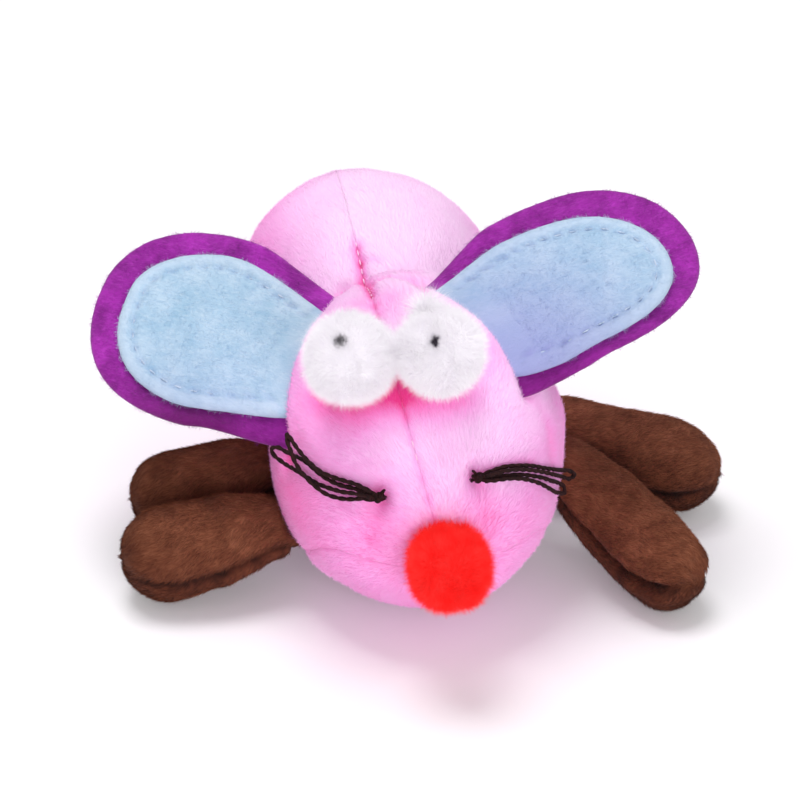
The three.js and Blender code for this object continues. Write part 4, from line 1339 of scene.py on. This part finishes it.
for name, form in leg_forms.items():
    seed = form["seed"]
    grid, to_seam, swell, run, root = leg_surface(form, 0, -leg_root_depth, leg_rows, leg_columns, 1.0)
    normal = ring_normals(grid)
    calm = np.clip((form["length"] - run) / 2.5, 0, 1)
    groove_middle, groove_depth = form["groove"]
    depth = 0.6 + groove_depth * bell(run / form["length"] - groove_middle, 0.3)
    lift = -leg_drop - depth * calm * bell(to_seam, 0.85)
    lift = lift + 0.3 * depth * bell(to_seam - 2.4, 1.3)
    pull = 0.5 + 0.5 * np.cos(2 * np.pi * run / stitch_pitch)
    lift = lift - 0.15 * depth * pull * bell(to_seam, 2.2)
    lift = lift + 0.55 * wander(grid, 8.5, seed) * swell + 0.22 * wander(grid, 3.2, seed + 10)
    lift = lift + 0.45 * wander(grid * (0.35, 1.0, 1.6), 3.4, seed + 20) * (1 - swell)
    outer = grid + lift[..., None] * normal
    outer[0] = outer[0].mean(axis=0)
    outer[-1] = outer[-1].mean(axis=0)
    outer[..., 2] = np.maximum(outer[..., 2], 0.3 + 0.1 * wander(grid, 3, seed + 30))
    # Painted light and shade: the brown is painted paler where a leg faces the light, darker where it faces
    # away and in its seam's groove, with random tone; the rear legs' painted shade is added after
    facing = normal @ unit(painted_light_way)
    shade_and_tone = 0.32 + 0.3 * ease((0.9 - facing) / 1.2) + 0.5 * calm * bell(to_seam, 0.8)
    shade_and_tone = shade_and_tone + 0.12 * wander(outer, 3.0, seed + 40) + 0.2 * wander(outer, 0.9, seed + 50)
    behind = ease(-normal[..., 1] / 0.5) * ease((0.75 - normal[..., 2]) / 0.6)
    shade_and_tone = shade_and_tone + leg_shades[name] * behind * (1 - ease((run / form["length"] - 0.62) / 0.2))
    shade_and_tone = np.clip(shade_and_tone, 0.05, 1)
    corners, number = wrapped(outer)
    shade_and_tone = wrapped(shade_and_tone)[0]
    skin = new_piece(f"leg_plush_{name}", corners, quads(number), brown_plush, cloth_values(shade_and_tone))
    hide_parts(f"leg_skin_{name}")
    aslant = np.cross(normal, np.gradient(outer, axis=0))
    stray = 0.5 + 0.8 * wander(outer, 3.2, seed + 60)
    comb = unit(np.gradient(outer, axis=0) + stray[..., None] * aslant)
    values = {"shade_and_tone": shade_and_tone, "keep": np.clip(1.25 - 0.6 * shade_and_tone, 0.3, 1), "comb": wrapped(comb)[0]}
    ground = new_piece(f"{name}_base", corners, quads(number), brown_plush, values)
    fur = grow(f"leg_pile_{name}", laid_pile, ground, 0.0, **pile_of(brown_plush, seed, **brown_pile))
    for piece in (skin, fur):
        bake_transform(piece)


# Stuffing: polyester fibre packed into head and rump, with the catnip pouch in the rump's pocket, and
# a plug of the same fibre in each leg. None of it shows while the seams hold.
fill_inset = 4.6
fill_white = mottled_material("fibre_fill", 0.95, 0.3, 300, 5, (226, 222, 214), (248, 246, 240))
pouch_linen = mottled_material(
    "pouch_linen", 0.9, 0.1, 1400, 3, (206, 194, 166), (236, 226, 204), (1, 8, 1),
)
pouch_half = np.array((8.0, 10.0, 5.0))
pouch_centre = np.array((0.0, 48.0, 25.0))
pocket_room = 0.5
fill_columns = 48


def fill_ring(y, inset):
    """One ring of the body's form, drawn in by an inset."""
    angle = 2 * np.pi * np.arange(fill_columns) / fill_columns
    ring = body_point(np.full(fill_columns, y), angle)
    centre = np.array([0, y, body_section(y)[2]])
    reach = np.linalg.norm(ring - centre, axis=1)[:, None]
    return centre + (ring - centre) * np.maximum(0.02, 1 - inset / np.maximum(reach, 0.1))


def pocket_ring(y, share):
    angle = 2 * np.pi * np.arange(fill_columns) / fill_columns
    return np.stack([
        (pouch_half[0] + pocket_room) * share * np.sin(angle),
        np.full(fill_columns, y),
        pouch_centre[2] + (pouch_half[2] + pocket_room) * share * np.cos(angle),
    ], axis=1)


def fill_piece(name, rings, material, body, node_name, lump, seed):
    grid = np.array(rings)
    grid = grid + (lump * wander(grid, 6, seed))[..., None] * ring_normals(grid)
    grid[0] = grid[0].mean(axis=0)
    grid[-1] = grid[-1].mean(axis=0)
    corners, number = wrapped(grid)
    piece = new_piece(name, corners, quads(number), material)
    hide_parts(node_name)
    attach(piece, body)


head_rings = [fill_ring(y, fill_inset) for y in cover_stations if snout_y + fill_inset < y < neck_y - 0.5]
neck_end = np.array([0, neck_y - 0.5, body_section(neck_y)[2]])
closing = [neck_end + (head_rings[-1] - neck_end) * share for share in (0.9, 0.6, 0.3, 0.0)]
head_rings = head_rings[:1] + head_rings + closing
fill_piece("stuffing_head", head_rings, fill_white, "body", "head_filling", 0.5, 81)

pocket_end = pouch_centre[1] + pouch_half[1] + pocket_room
pocket_rings = [pocket_ring(pocket_end, share) for share in (0.0, 0.5, 0.9, 1.0)]
pocket_rings += [pocket_ring(y, 1.0) for y in np.linspace(pocket_end - 1, neck_y + 0.5, 14)]
rump_rings = [fill_ring(y, fill_inset) for y in cover_stations if neck_y + 0.5 < y < rear_y - fill_inset]
mouth = [pocket_rings[-1] + (rump_rings[0] - pocket_rings[-1]) * share for share in (0.25, 0.5, 0.75)]
rump_rings = pocket_rings + mouth + rump_rings + [rump_rings[-1]]
fill_piece("stuffing_rump", rump_rings, fill_white, "body", "rump_filling", 0.3, 82)

pouch_rings = ball_grid(pouch_centre, pouch_half, 24, fill_columns, 0.03, 83)
fill_piece("catnip_pouch_cloth", pouch_rings, pouch_linen, "body", "catnip_pouch", 0.15, 84)

for name, form in leg_forms.items():
    rings = leg_surface(form, leg_fill_inset, leg_fill_start, 30, fill_columns)[0]
    joined = fill_white, f"leg_{name}", f"leg_filling_{name}"
    fill_piece(f"stuffing_leg_{name}", rings, *joined, 0.3, form["seed"] + 40)
